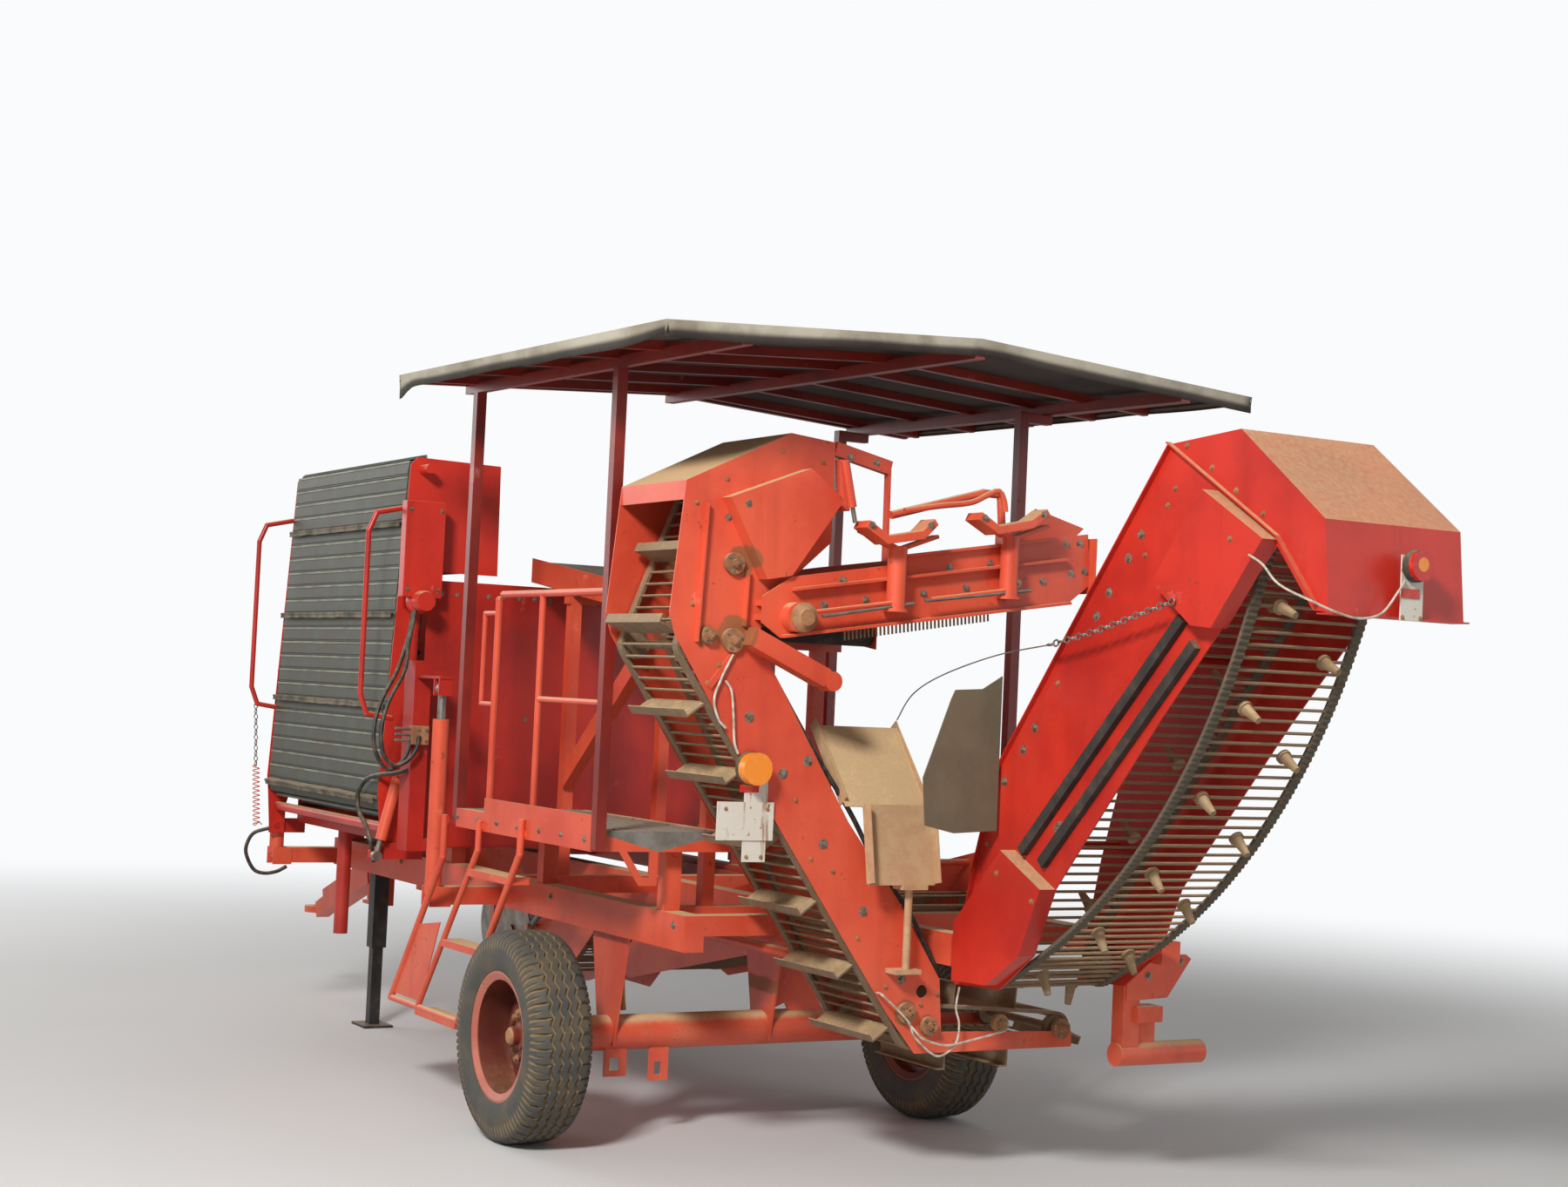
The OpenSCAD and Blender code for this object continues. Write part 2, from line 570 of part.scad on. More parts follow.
module picking_table() color(red) place() {
  a = [-700, 2330];
  b = [1650, 2640];
  // side panels
  for (y = [-260, 450]) plate_y([[a[0], a[1]], [b[0], b[1]], [b[0], b[1] + 130], [a[0], a[1] + 130]], y, 5);
  // belt of the table
  p = tight(belt_line([[a[0] + 60, a[1] + 60, 45], [b[0] - 60, b[1] + 62, 45]]));
  translate([0, 450, 0]) rotate([90, 0, 0]) {
    translate([0, 0, 8]) belt_ring(p, 6, 0, 689);
    for (q = [[a[0] + 60, a[1] + 60], [b[0] - 60, b[1] + 62]]) translate([q[0], q[1], 0]) {
      cylinder(h = 705, r = 16);
      translate([0, 0, 8]) cylinder(h = 689, r = 43);
    }
  }
  // legs, each [x, y]
  for (q = [[-400, 379.7], [1160, 379.7], [-400, mid_y + 20], [1160, mid_y + 20]])
    translate([q[0], q[1], beam_t]) cube([60, 60, 1230 + (q[0] + 400) * 0.132]);
  for (x = [-400, 1160]) translate([x, -255, 2315 + (x + 400) * 0.132]) cube([60, 710, 40]);
  beam([1160, 425, 1600], [180, 425, 2400], 60, 90);
}

haulm_outline = [[-1420, 870], [-1560, 1430], [-1690, 1830], [-2290, 2580], [-2760, 3160], [-3160, 3190],
    [-3630, 2830], [-3660, 2490],
  [-3580, 2500], [-3380, 2740], [-2750, 2070], [-2120, 1350], [-1990, 1060], [-1760, 890]];
haulm_line = tight(belt_line([[-3220, 2850, 100], [-564, 3475, 2800], [-1640, 975, 90]]));

module haulm_casing() color(red) place() {
  l = -haulm_y;
  r = -haulm_y - haulm_w;
  plate_y(haulm_outline, l - plate_t, plate_t);
  plate_y(haulm_outline, r, plate_t);
  // hood between the plates
  plate_y([[-2760, 3160], [-3160, 3190], [-3630, 2830], [-3660, 2490], [-3654, 2490], [-3624, 2827],
      [-3158, 3184], [-2760, 3154]], r, haulm_w);
  translate([-3690, r, 2484]) cube([90, haulm_w, 6]);
  for (z = [1500, 2330]) pin_y(-1500 - (z - 1300) * 0.85, z, r, l, 20);
  // edges of the left plate turned outwards
  front = [[-2760, 3160], [-2290, 2580], [-1690, 1830], [-1560, 1430], [-1498, 1180]];
  rear = [[-3611, 2519], [-3394, 2777], [-2748, 3167]];
  for (q = [front, rear]) plate_y(ribbon(q, 6), l - 2, 26);
  // hollow guards over the drives
  for (q = [[[-3120, 2430], [-3000, 2440], [-2760, 2610], [-3040, 2960], [-3390, 2760]], [[-1990, 1060],
      [-1760, 910], [-1510, 900], [-1510, 1150], [-1830, 1490], [-2120, 1350]]])
    translate([0, l + 80, 0]) rotate([90, 0, 0]) difference() {
      linear_extrude(height = 80) polygon(q);
      translate([0, 0, 4]) linear_extrude(height = 90) polygon(widened(q, -4));
    }
  // guide rails on the left plate
  beam([-2880, l + 15, 2470], [-1900, l + 15, 1490], 30, 45);
  beam([-2960, l + 15, 2370], [-2040, l + 15, 1450], 30, 45);
}

module haulm_web() color(steel) place() {
  w = haulm_w - 2 * plate_t;
  translate([0, -haulm_y - plate_t, 0]) rotate([90, 0, 0]) {
    translate([0, 0, 30]) web(haulm_line, w - 60, 8);
    along(haulm_line, rod_pitch, 8, 3) translate([0, -4, 180]) rotate([90, 0, 0]) cylinder(h = peg_l,
        r1 = 26, r2 = 14, $fn = 24);
    along(haulm_line, rod_pitch, 8, 7) translate([0, -4, w - 180]) rotate([90, 0, 0]) cylinder(h = peg_l,
        r1 = 26, r2 = 14, $fn = 24);
    for (q = [[-3220, 2850, 92], [-1640, 975, 82]]) translate([q[0], q[1], 0]) {
      cylinder(h = w, r = 20);
      for (z = [36, w - 66]) translate([0, 0, z]) cylinder(h = 30, r = q[2] + 1);
    }
  }
}

module lamp_carriers() color(steel) place() {
  x = -cross_rear;
  translate([x - 6, 700, 1400]) cube([6, 110, 420]);
  translate([x - 12, 670, 1490]) cube([6, 270, 160]);
  translate([-3690 - 6, -haulm_y - 430, 2480]) cube([6, 110, 240]);
}

module lamp_lenses() color([1, 0.6, 0.1]) place() {
  x = -cross_rear - 6;
  pin_x(790, 1790, x - 70, x, 68);
  pin_x(-haulm_y - 375, 2680, -3750, -3696, 55);
}

module bunker() color(red) place() {
  a = bunker_rear;
  b = bunker_f;
  z = 1205;
  walls = [[-1150, z + 40], [1000, z], [1000, bunker_z], [-1150, bunker_z]];
  plate_x(walls, a, 5);
  plate_x(walls, b - 5, 5);
  translate([a, -1150, z + 40]) cube([bunker_l, 5, bunker_z - z - 40]);
  for (x = [a + 5, b - 85]) translate([x, -1100, z]) cube([80, 2100, 90]);
  for (x = [a, b - 40]) translate([x, -1150, bunker_z - 40]) cube([40, 2150, 40]);
  translate([a, -1150, bunker_z - 40]) cube([bunker_l, 40, 40]);
  translate([a, 900, z]) cube([bunker_l, 100, 60]);
  translate([a, right_y, z]) cube([bunker_l, 80, 60]);
  // hinge lugs
  for (x = [a + 140, b - 224]) difference() {
    translate([x, right_y + 10, 1130]) cube([30, 60, 80]);
    pin_x(bunk_p[0], bunk_p[1], x - 5, x + 45, 19.5);
  }
  // pivot lugs of the unloading belt
  for (q = [[a + 8, a + 8, a + 52], [b - 5, b - 30, b + 7]]) {
    translate([q[0], 950, 1140]) cube([12, 220, 85]);
    pin_x(fold_p[0], fold_p[1], q[1], q[2], 16);
  }
  // rear lift column with its ears
  translate([1500, 1060, z]) cube([10, 90, 985]);
  translate([1500, 1140, z]) cube([140, 10, 985]);
  for (h = [z, 2080]) translate([1500, 1000, h]) cube([a - 1500 + 5, 62, 60]);
  translate([lift_x[0] - 45, 1065, 2100]) cube([1505 - lift_x[0] + 45, 70, 14]);
  translate([b - 1, 940, 1500]) cube([14, 120, 612]);
  translate([b, 1005, 2098]) cube([lift_x[1] + 40 - b, 130, 14]);
  for (x = lift_x) {
    for (s = [-1, 1]) translate([x + s * 33 - 6, 1065, 2015]) cube([12, 70, 95]);
    pin_x(lift_top[0], lift_top[1], x - 38, x + 38, 12);
  }
  // top pin of the folding cylinder and the guard leg
  pin_x(fold_top[0], fold_top[1], 1505, 1775, 12);
  translate([a + 1190, 952, 620]) cylinder(h = 590, r = 40);
}

module bunker_floor() color(dark) place() {
  a = bunker_rear + 5;
  w = bunker_l - 10;
  p = tight(belt_line([[-1050, 1560, 50], [930, 1370, 50]]));
  translate([a, 0, 0]) rotate([90, 0, 90]) {
    translate([0, 0, 20]) belt_ring(p, 8, 0, w - 40);
    along(p, 120, 1, 0, 1) translate([-17, -20, 22]) cube([34, 19, w - 44]);
    for (q = [[-1050, 1560], [930, 1370]]) translate([q[0], q[1], 0]) {
      cylinder(h = w, r = 18);
      translate([0, 0, 20]) cylinder(h = w - 40, r = 42);
    }
  }
}

unload_line = tight(belt_line([[1125, 1450, 58], [1045, belt_top - 65, 58]]));

module unload_frame() color(red) place() {
  a = unload_a;
  b = unload_b;
  t = belt_top;
  side_shape = [[1085, 1140], [1175, 1140], [1195, 1390], [1205, 1480], [1115, t - 40], [1080, t], [600,
      t - 10], [590, 2665], [1010, 2665], [1060, 1390], [1085, 1300]];
  for (x = [a, b - 6]) difference() {
    plate_x(side_shape, x, 6);
    pin_x(fold_p[0], fold_p[1], x - 5, x + 15, 17.5);
  }
  // cross tubes
  pin_x(1130, 1300, a, b, 26);
  pin_x(1085, 2300, a, b, 20);
  pin_x(630, 2700, a, b, 16);
  // crank of the folding cylinder
  plate_x([[1152, 1150], [1152, 1215], [1242, 1185], [1242, 1138]], a - 12, 14);
  pin_x(fold_low[0], fold_low[1], a - 37, a, 20);
  // hoops along both edges
  for (x = [a + 3, b - 3]) pipe([[x, 1120, 3000], [x, 1290, 2960], [x, 1330, 2860], [x, 1330, 2000], [x,
      1290, 1900], [x, 1150, 1880]], 14);
  // chain guard at the head
  translate([a - 90, 1010, 2480]) cube([90, 90, 540]);
  pin_x(1045, t - 65, a - 110, a, 26);
}

module unload_belt() color(dark) place() {
  w = unload_b - unload_a - 12;
  translate([unload_a + 6, 0, 0]) rotate([90, 0, 90]) {
    translate([0, 0, 12]) belt_ring(unload_line, 8, 0, w - 24);
    along(unload_line, slat_pitch, 1, 0, 6) translate([-36, -16, 18]) cube([72, 14, w - 36]);
    along(unload_line, slat_pitch, 6, 1) translate([-36, -50, 18]) cube([10, 46, w - 36]);
    for (q = [[1125, 1450], [1045, belt_top - 65]]) translate([q[0], q[1], 0]) {
      cylinder(h = w, r = 18);
      translate([0, 0, 12]) cylinder(h = w - 24, r = 49);
    }
  }
}

// lift cylinder drawn from its lower pin up to its eye
module on_lift(x) {
  translate([x, lift_low[0], lift_low[1]]) rotate([atan2(lift_low[0] - lift_top[0],
      lift_top[1] - lift_low[1]), 0, 0]) children();
}

module lift_barrels() color(red) place() for (x = lift_x) on_lift(x) difference() {
  union() {
    rotate([0, 90, 0]) cylinder(h = 46, r = 28, center = true);
    translate([0, 0, 15]) cylinder(h = 880, r = 42);
  }
  rotate([0, 90, 0]) cylinder(h = 60, r = 13, center = true);
  translate([0, 0, 80]) cylinder(h = 900, r = 25);
}

module lift_rods() color(steel) place() for (x = lift_x) on_lift(x) {
  l = norm(lift_top - lift_low);
  difference() {
    union() {
      translate([0, 0, 110]) cylinder(h = l - 115, r = 22);
      translate([0, 0, l]) rotate([0, 90, 0]) cylinder(h = 44, r = 32, center = true);
    }
    translate([0, 0, l]) rotate([0, 90, 0]) cylinder(h = 60, r = 19, center = true);
  }
}

// folding cylinder drawn from its upper pin down to its crank pin
module on_fold() {
  translate([1740, fold_top[0], fold_top[1]]) rotate([atan2(fold_low[0] - fold_top[0],
      fold_top[1] - fold_low[1]), 0, 0]) children();
}

module fold_barrels() color(red) place() on_fold() difference() {
  union() {
    rotate([0, 90, 0]) cylinder(h = 36, r = 26, center = true);
    translate([0, 0, -345]) cylinder(h = 330, r = 30);
  }
  rotate([0, 90, 0]) cylinder(h = 60, r = 13, center = true);
  translate([0, 0, -360]) cylinder(h = 310, r = 17);
}

module fold_rods() color(steel) place() on_fold() {
  translate([0, 0, -415]) cylinder(h = 300, r = 15);
  translate([0, 0, -norm(fold_low - fold_top)]) rotate([0, 90, 0]) cylinder(h = 36, r = 26, center = true);
}

pick_line = tight(belt_line([[2080, 900, 70], [3120, 420, 60]]));
sieve_line = tight(belt_line([[-620, 1120, 70], [1850, 590, 70]]));

module digging_frame() color(red) place() {
  for (y = [chan_l, chan_r - plate_t]) difference() {
    plate_y([[1700, 960], [1700, 1075], [2400, 1085], [3060, 640], [3410, 600], [3410, 500], [3290, 300],
        [2715, 300], [1900, 960]], y, plate_t);
    pin_y(dig_p[0], dig_p[1], y - 5, y + 15, 24);
  }
  // share blade
  difference() {
    plate_y([[3195, 338], [3199, 350], [3550, 242], [3546, 230]], chan_r - plate_t, channel_w + 2 * plate_t);
    translate([3340, chan_y, 100]) rotate([0, 0, -45]) cube([400, 400, 400]);
  }
  for (x = [2350, 2850]) pin_y(x, 900 - (x - 2080) * 0.4615, chan_r, chan_l, 18);
  // stub shafts of the coulters and pin of the lift cylinder
  pin_y(disc_p[0], disc_p[1], chan_l, chan_l + 52, 20);
  pin_y(disc_p[0], disc_p[1], chan_r - 52, chan_r, 20);
  pin_y(dig_low[0], dig_low[1], chan_l, chan_l + 76, 14);
  // arms of the ridge roller
  x = roller_p[0];
  for (y = [chan_l - 19, chan_r - 1])
    plate_y([[x - 483, 560], [x - 483, 610], [x - 41, 778], [x + 25, 778], [x + 25, 560], [x - 25, 560],
        [x - 25, 731]], y, 20);
  pin_y(x, roller_p[1], chan_r, chan_l, 18);
}

module web_set(p, ends) {
  translate([0, chan_l, 0]) rotate([90, 0, 0]) {
    translate([0, 0, 12]) web(p, channel_w - 24);
    for (q = ends) translate([q[0], q[1], 0]) {
      cylinder(h = channel_w, r = 16);
      for (z = [18, channel_w - 48]) translate([0, 0, z]) cylinder(h = 30, r = q[2]);
    }
  }
}

module pickup_web() color(steel) place() web_set(pick_line, [[2080, 900, 63], [3120, 420, 53]]);
module sieve_web() color(steel) place() web_set(sieve_line, [[-620, 1120, 63], [1850, 590, 63]]);

module sieve_frame() color(red) place() {
  for (y = [chan_l, chan_r - plate_t]) plate_y([[-690, 1020], [-690, 1400], [1900, 800], [1940, 540],
      [1760, 490]], y, plate_t);
  for (x = [700, 0, -600]) {
    translate([x, chan_l + plate_t, 1000]) cube([70, mid_y - chan_l - plate_t, 60]);
    translate([x, right_y + 100, 1040]) cube([70, chan_r - plate_t - right_y - 100, 60]);
  }
  pin_y(-560, 1330, chan_r, chan_l, 16);
  pin_y(1100, 930, chan_r, chan_l, 16);
}

module on_dig() {
  translate([dig_top[0], chan_l + 50, dig_top[1]]) rotate([0, 90 + atan2(dig_top[1] - dig_low[1],
      dig_low[0] - dig_top[0]), 0]) children();
}

module dig_barrel() color(red) place() on_dig() difference() {
  union() {
    rotate([90, 0, 0]) cylinder(h = 36, r = 28, center = true);
    translate([0, 0, 18]) cylinder(h = 417, r = 32);
  }
  rotate([90, 0, 0]) cylinder(h = 60, r = 15, center = true);
  translate([0, 0, 60]) cylinder(h = 400, r = 18);
}

module dig_rod() color(steel) place() on_dig() {
  l = norm(dig_low - dig_top);
  difference() {
    union() {
      translate([0, 0, 120]) cylinder(h = l - 120, r = 16);
      translate([0, 0, l]) rotate([90, 0, 0]) cylinder(h = 36, r = 30, center = true);
    }
    translate([0, 0, l]) rotate([90, 0, 0]) cylinder(h = 60, r = 18, center = true);
  }
}

module coulter(s) {
  difference() {
    union() {
      pin_y(disc_p[0], disc_p[1], s - 4, s + 4, coulter_d / 2, 72);
      pin_y(disc_p[0], disc_p[1], s - 16, s + 16, 55);
    }
    pin_y(disc_p[0], disc_p[1], s - 40, s + 40, 21);
  }
}
module coulter_left() color(steel) place() coulter(chan_l + 28);
module coulter_right() color(steel) place() coulter(chan_r - 28);

module ridge_roller() color(steel) place() {
  difference() {
    translate([roller_p[0], chan_l - 26, roller_p[1]]) rotate([90, 0, 0]) rotate_extrude($fn = 64)
      polygon([[0, 0], [230, 0], [230, 40], [150, channel_w / 2 - 26], [230, channel_w - 92], [230,
          channel_w - 52], [0, channel_w - 52]]);
    pin_y(roller_p[0], roller_p[1], chan_r - 5, chan_l + 5, 20);
  }
}

module drive_line() color(red) place() {
  x = bunker_f - 30;
  y = mid_y + 215;
  translate([x, mid_y + 100, 780]) cube([230, 230, 240]);
  pin_x(y, 900, x + 229, x + 405, 17.5);
  pin_x(y, 900, x + 229, x + 330, 62);
  pin_x(y, 900, -cross_front, x + 1, 26);
}

main_frame();
axle();
wheel_left();
wheel_right();
tyre_left();
tyre_right();
drawbar();
jack_tube();
jack_leg();
platform();
guard_rails();
ladder();
canopy_frame();
canopy();
cross_casing();
cross_web();
separator_frame();
separator_belt();
chutes();
rubber_flap();
picking_table();
haulm_casing();
haulm_web();
lamp_carriers();
lamp_lenses();
bunker();
bunker_floor();
unload_frame();
unload_belt();
lift_barrels();
lift_rods();
fold_barrels();
fold_rods();
digging_frame();
pickup_web();
dig_barrel();
dig_rod();
sieve_frame();
sieve_web();
coulter_left();
coulter_right();
ridge_roller();
drive_line();
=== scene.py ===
# Look of the trailed potato digger: paint, dust, rubber, cloth and the small pieces on its frame.
import math

import bmesh
import bpy
from mathutils import Matrix, Vector
from mathutils.bvhtree import BVHTree
from mathutils.noise import noise as ripple


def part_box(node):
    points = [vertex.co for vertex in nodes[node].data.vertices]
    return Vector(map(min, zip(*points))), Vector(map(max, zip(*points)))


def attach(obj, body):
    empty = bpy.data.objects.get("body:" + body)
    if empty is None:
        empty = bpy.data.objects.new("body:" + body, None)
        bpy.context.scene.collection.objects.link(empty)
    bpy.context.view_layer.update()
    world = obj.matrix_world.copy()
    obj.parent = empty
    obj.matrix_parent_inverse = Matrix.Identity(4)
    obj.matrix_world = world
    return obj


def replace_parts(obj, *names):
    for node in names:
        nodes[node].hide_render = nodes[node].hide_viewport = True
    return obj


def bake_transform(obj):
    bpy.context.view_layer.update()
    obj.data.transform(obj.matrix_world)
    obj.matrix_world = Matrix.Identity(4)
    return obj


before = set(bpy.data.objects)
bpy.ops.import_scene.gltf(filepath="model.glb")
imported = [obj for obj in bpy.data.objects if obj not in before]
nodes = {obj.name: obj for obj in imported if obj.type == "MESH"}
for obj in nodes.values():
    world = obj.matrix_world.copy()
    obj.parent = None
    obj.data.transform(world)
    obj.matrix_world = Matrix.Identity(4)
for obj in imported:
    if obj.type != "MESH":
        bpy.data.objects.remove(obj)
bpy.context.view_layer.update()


scene = bpy.context.scene
scene.view_settings.view_transform = "Standard"

# In metres: how far ahead of the axle the frame has its origin, and the wheels' own sizes
MID = 0.6175
WHEEL_RADIUS = 0.4825
HALF_TRACK = 1.126


def here(x, y, z):
    """A point given from the axle, forward, left and up in metres, as a point of the frame."""
    return Vector((x - MID, y, z))


def make_camera():
    """The camera, solved from the wheels, the axle and the level edges of the photograph."""
    yaw, pitch, roll = (math.radians(a) for a in (-30.318, 2.342, 2.613))
    level = math.cos(pitch)
    look = Vector((level * math.cos(yaw), level * math.sin(yaw), math.sin(pitch)))
    side = Vector((math.sin(yaw), -math.cos(yaw), 0))
    top = side.cross(look)
    right = side * math.cos(roll) + top * math.sin(roll)
    up = top * math.cos(roll) - side * math.sin(roll)
    data = bpy.data.cameras.new("view")
    data.lens, data.sensor_width = 54.002, 36
    data.clip_start, data.clip_end = 0.1, 200
    camera = bpy.data.objects.new("view", data)
    scene.collection.objects.link(camera)
    turn = Matrix((right, up, -look)).transposed().to_4x4()
    camera.matrix_world = Matrix.Translation(here(-9.956, 5.665, 2.124)) @ turn
    scene.camera = camera


make_camera()


class Value:
    """A socket of a node tree. Sums written with it add Math nodes."""

    def __init__(self, graph, socket):
        self.graph, self.socket = graph, socket

    def sum(self, operation, *values):
        """The result of a Math node on the values."""
        return self.graph.add("ShaderNodeMath", {"operation": operation}, values)

    def __add__(self, other):
        return self.sum("ADD", self, other)

    def __radd__(self, other):
        return self.sum("ADD", other, self)

    def __sub__(self, other):
        return self.sum("SUBTRACT", self, other)

    def __rsub__(self, other):
        return self.sum("SUBTRACT", other, self)

    def __mul__(self, other):
        return self.sum("MULTIPLY", self, other)

    def __rmul__(self, other):
        return self.sum("MULTIPLY", other, self)

    def __pow__(self, other):
        return self.sum("POWER", self, other)

    def most(self, other):
        """The larger of two values."""
        return self.sum("MAXIMUM", self, other)

    def between(self, low, high):
        """0 below low, 1 above high, with a smooth step."""
        values = {0: self, 1: low, 2: high, 3: 0.0, 4: 1.0}
        return self.graph.add("ShaderNodeMapRange", {"interpolation_type": "SMOOTHSTEP"}, values)


class Graph:
    """A node tree that is filled by add, which takes a node's type, settings and socket values."""

    def feed(self, socket, value):
        """Links or sets one input socket."""
        if isinstance(value, Value):
            self.tree.links.new(value.socket, socket)
        elif socket.type == "RGBA" and len(value) == 3:
            socket.default_value = (*value, 1.0)
        else:
            socket.default_value = value

    def add(self, kind, settings=(), values=(), out=0):
        """A new node's output. The values are in the order of its sockets, or named by key."""
        node = self.tree.nodes.new(kind)
        for name, setting in dict(settings).items():
            setattr(node, name, setting)
        for key, value in values.items() if isinstance(values, dict) else enumerate(values):
            self.feed(node.inputs[key], value)
        return Value(self, node.outputs[out])


class Finish(Graph):
    """One procedural material of paint, rubber, cloth or metal."""

    def __init__(self, name, metallic=0.0):
        self.material = bpy.data.materials.new(name)
        self.material.use_nodes = True
        self.tree = self.material.node_tree
        self.tree.nodes.clear()
        self.shader = self.tree.nodes.new("ShaderNodeBsdfPrincipled")
        output = self.tree.nodes.new("ShaderNodeOutputMaterial")
        self.tree.links.new(self.shader.outputs[0], output.inputs[0])
        self.shader.inputs["Metallic"].default_value = metallic
        self.place = self.add("ShaderNodeTexCoord", out="Object")
        self.x, self.y, self.z = (self.part(self.place, k) for k in range(3))
        self.normal = self.part(self.add("ShaderNodeNewGeometry", out="Normal"), 2)

    def part(self, vector, k):
        """The x, y or z of a vector, for k 0, 1 or 2."""
        return self.add("ShaderNodeSeparateXYZ", (), [vector], k)

    def noise(self, scale, detail, stretch=None):
        """Cloudy noise over the piece, from 0 to 1."""
        place = self.place
        if stretch:
            place = self.add("ShaderNodeMapping", (), {"Vector": place, "Scale": stretch})
        values = {"Vector": place, "Scale": scale, "Detail": detail, "Roughness": 0.6}
        return self.add("ShaderNodeTexNoise", (), values)

    def mix(self, share, low, high):
        """The colour low where share is 0, and high where it is 1."""
        return self.add("ShaderNodeMix", {"data_type": "RGBA"}, {0: share, 6: low, 7: high}, 2)

    def near(self, y, z, radius, soft):
        """1 within a radius of a line along the machine at y, z, falling to 0 over soft."""
        away = (((self.y - y) ** 2.0) + ((self.z - z) ** 2.0)) ** 0.5
        return 1.0 - away.between(radius, radius + soft)

    def wear(self, colour, roughness, bump=None):
        """The finished material. The bump is [height, strength, distance]."""
        self.feed(self.shader.inputs["Base Color"], colour)
        self.feed(self.shader.inputs["Roughness"], roughness)
        if bump is not None:
            height, strength, distance = bump
            values = {"Strength": strength, "Distance": distance, "Height": height}
            self.feed(self.shader.inputs["Normal"], self.add("ShaderNodeBump", (), values))
        return self.material


def tone(red, green, blue):
    """A colour as it shows on a screen, 0 to 255, in the shader's own scale."""
    shares = (red / 255, green / 255, blue / 255)
    return tuple(c / 12.92 if c <= 0.04045 else ((c + 0.055) / 1.055) ** 2.4 for c in shares)


SKY = (0.955, 0.965, 0.975)
DUST = tone(212, 180, 134)
RUST = tone(104, 58, 34)
# Grease round the bearings, each [left, up, radius]
GREASE = [
    (0.88, 2.65, 0.05),
    (0.90, 2.35, 0.06),
    (1.03, 2.335, 0.03),
    (-0.04, 0.75, 0.04),
    (-0.16, 0.69, 0.03),
]


def paint(name, sunlit, worn, dust=0.55, rusty=0.6, greasy=False, top=1.6, low=0.35):
    """Faded machine paint with rain streaks and chips, dusty on top and splashed below."""
    f = Finish(name)
    patches = f.noise(1.6, 6).between(0.35, 0.68)
    streaks = f.noise(7.0, 5, (1, 1, 0.10)).between(0.5, 0.78)
    colour = f.mix(patches, sunlit, worn)
    colour = f.mix(streaks * 0.3, colour, tuple(c * 0.5 for c in worn))
    scuffs = f.noise(5.0, 9, (0.5, 1.6, 1.0)).between(0.66, 0.72)
    colour = f.mix(scuffs * 0.4, colour, tuple(min(1.0, c * 1.3 + 0.12) for c in sunlit))
    grit = f.noise(46, 5)
    chips = (f.noise(8, 9) * grit).between(0.375, 0.42)
    runs = f.noise(16, 7, (1, 1, 0.06)).between(0.66, 0.78) * f.noise(1.1, 3).between(0.5, 0.65)
    rust = chips.most(runs * 0.55) * rusty
    colour = f.mix(rust, colour, RUST)
    lying = f.normal.between(0.42, 0.95) * top
    cloud = f.noise(2.6, 6).between(0.45, 0.8) * 0.22
    splash = (1.0 - f.z.between(0.25, 1.35)) * f.noise(4.0, 7).between(0.3, 0.62) * low
    film = ((lying + cloud + splash) * (0.45 + grit) * dust).between(0.0, 1.0)
    colour = f.mix(film, colour, DUST)
    if greasy:
        stain, *others = [f.near(*spot, 0.035) for spot in GREASE]
        for spot in others:
            stain = stain.most(spot)
        stain = (stain * 1.5 - f.noise(13, 8).between(0.25, 0.75)).between(0.0, 0.9)
        colour = f.mix(stain * 0.75, colour, tone(124, 92, 54))
        rust = rust.most(stain)
    height = grit + film * 0.4 + rust * 0.5
    return f.wear(colour, 0.36 + film * 0.5 + rust * 0.25, (height, 0.2, 0.002))


def dusty(name, base, other, metallic, rough, dust, scale=14, bump=0.3):
    """Rubber, steel or cloth with dust on what looks up and in patches."""
    f = Finish(name, metallic)
    grain = f.noise(scale * 6, 4)
    patches = f.noise(scale, 6).between(0.38, 0.68)
    lying = f.normal.between(-0.1, 0.9) * 0.8
    film = ((lying + patches * 0.45) * dust * (0.4 + grain)).between(0.0, 1.0)
    colour = f.mix(film, f.mix(patches, base, other), DUST)
    return f.wear(colour, rough + film * 0.25, (grain + patches * 0.4, bump, 0.002))


def tread_rubber():
    """Worn tyre rubber with dry mud in its grooves, which the depth attribute marks."""
    f = Finish("tyre_rubber")
    grain = f.noise(60, 5)
    patches = f.noise(7, 6).between(0.35, 0.7)
    depth = f.add("ShaderNodeAttribute", {"attribute_name": "depth"}, out=2)
    mud = (depth * (0.35 + grain) + patches * 0.16).between(0.12, 1.0)
    colour = f.mix(patches, tone(70, 70, 67), tone(88, 80, 66))
    colour = f.mix(mud * 0.8, colour, tone(146, 122, 88))
    return f.wear(colour, 0.72 + mud * 0.2, (grain, 0.35, 0.002))


def sheet_canvas():
    """Weathered tarpaulin: pale and dusty on top, stained, and darker brown on its underside as
    painted shade.
    """
    f = Finish("canvas")
    weave = f.noise(420, 2)
    stains = f.noise(1.4, 7).between(0.4, 0.66)
    runs = f.noise(5, 6, (0.25, 1, 1)).between(0.5, 0.75)
    over = f.mix(stains, tone(176, 168, 150), tone(128, 118, 100))
    # The underside colour is painted shade: faces that look down get this dark brown
    under = f.mix(stains, tone(74, 66, 60), tone(52, 44, 40))
    colour = f.mix(f.normal.between(-0.35, 0.1), under, f.mix(runs * 0.5, over, tone(96, 84, 70)))
    return f.wear(colour, 0.85, (weave + runs * 0.3, 0.25, 0.001))


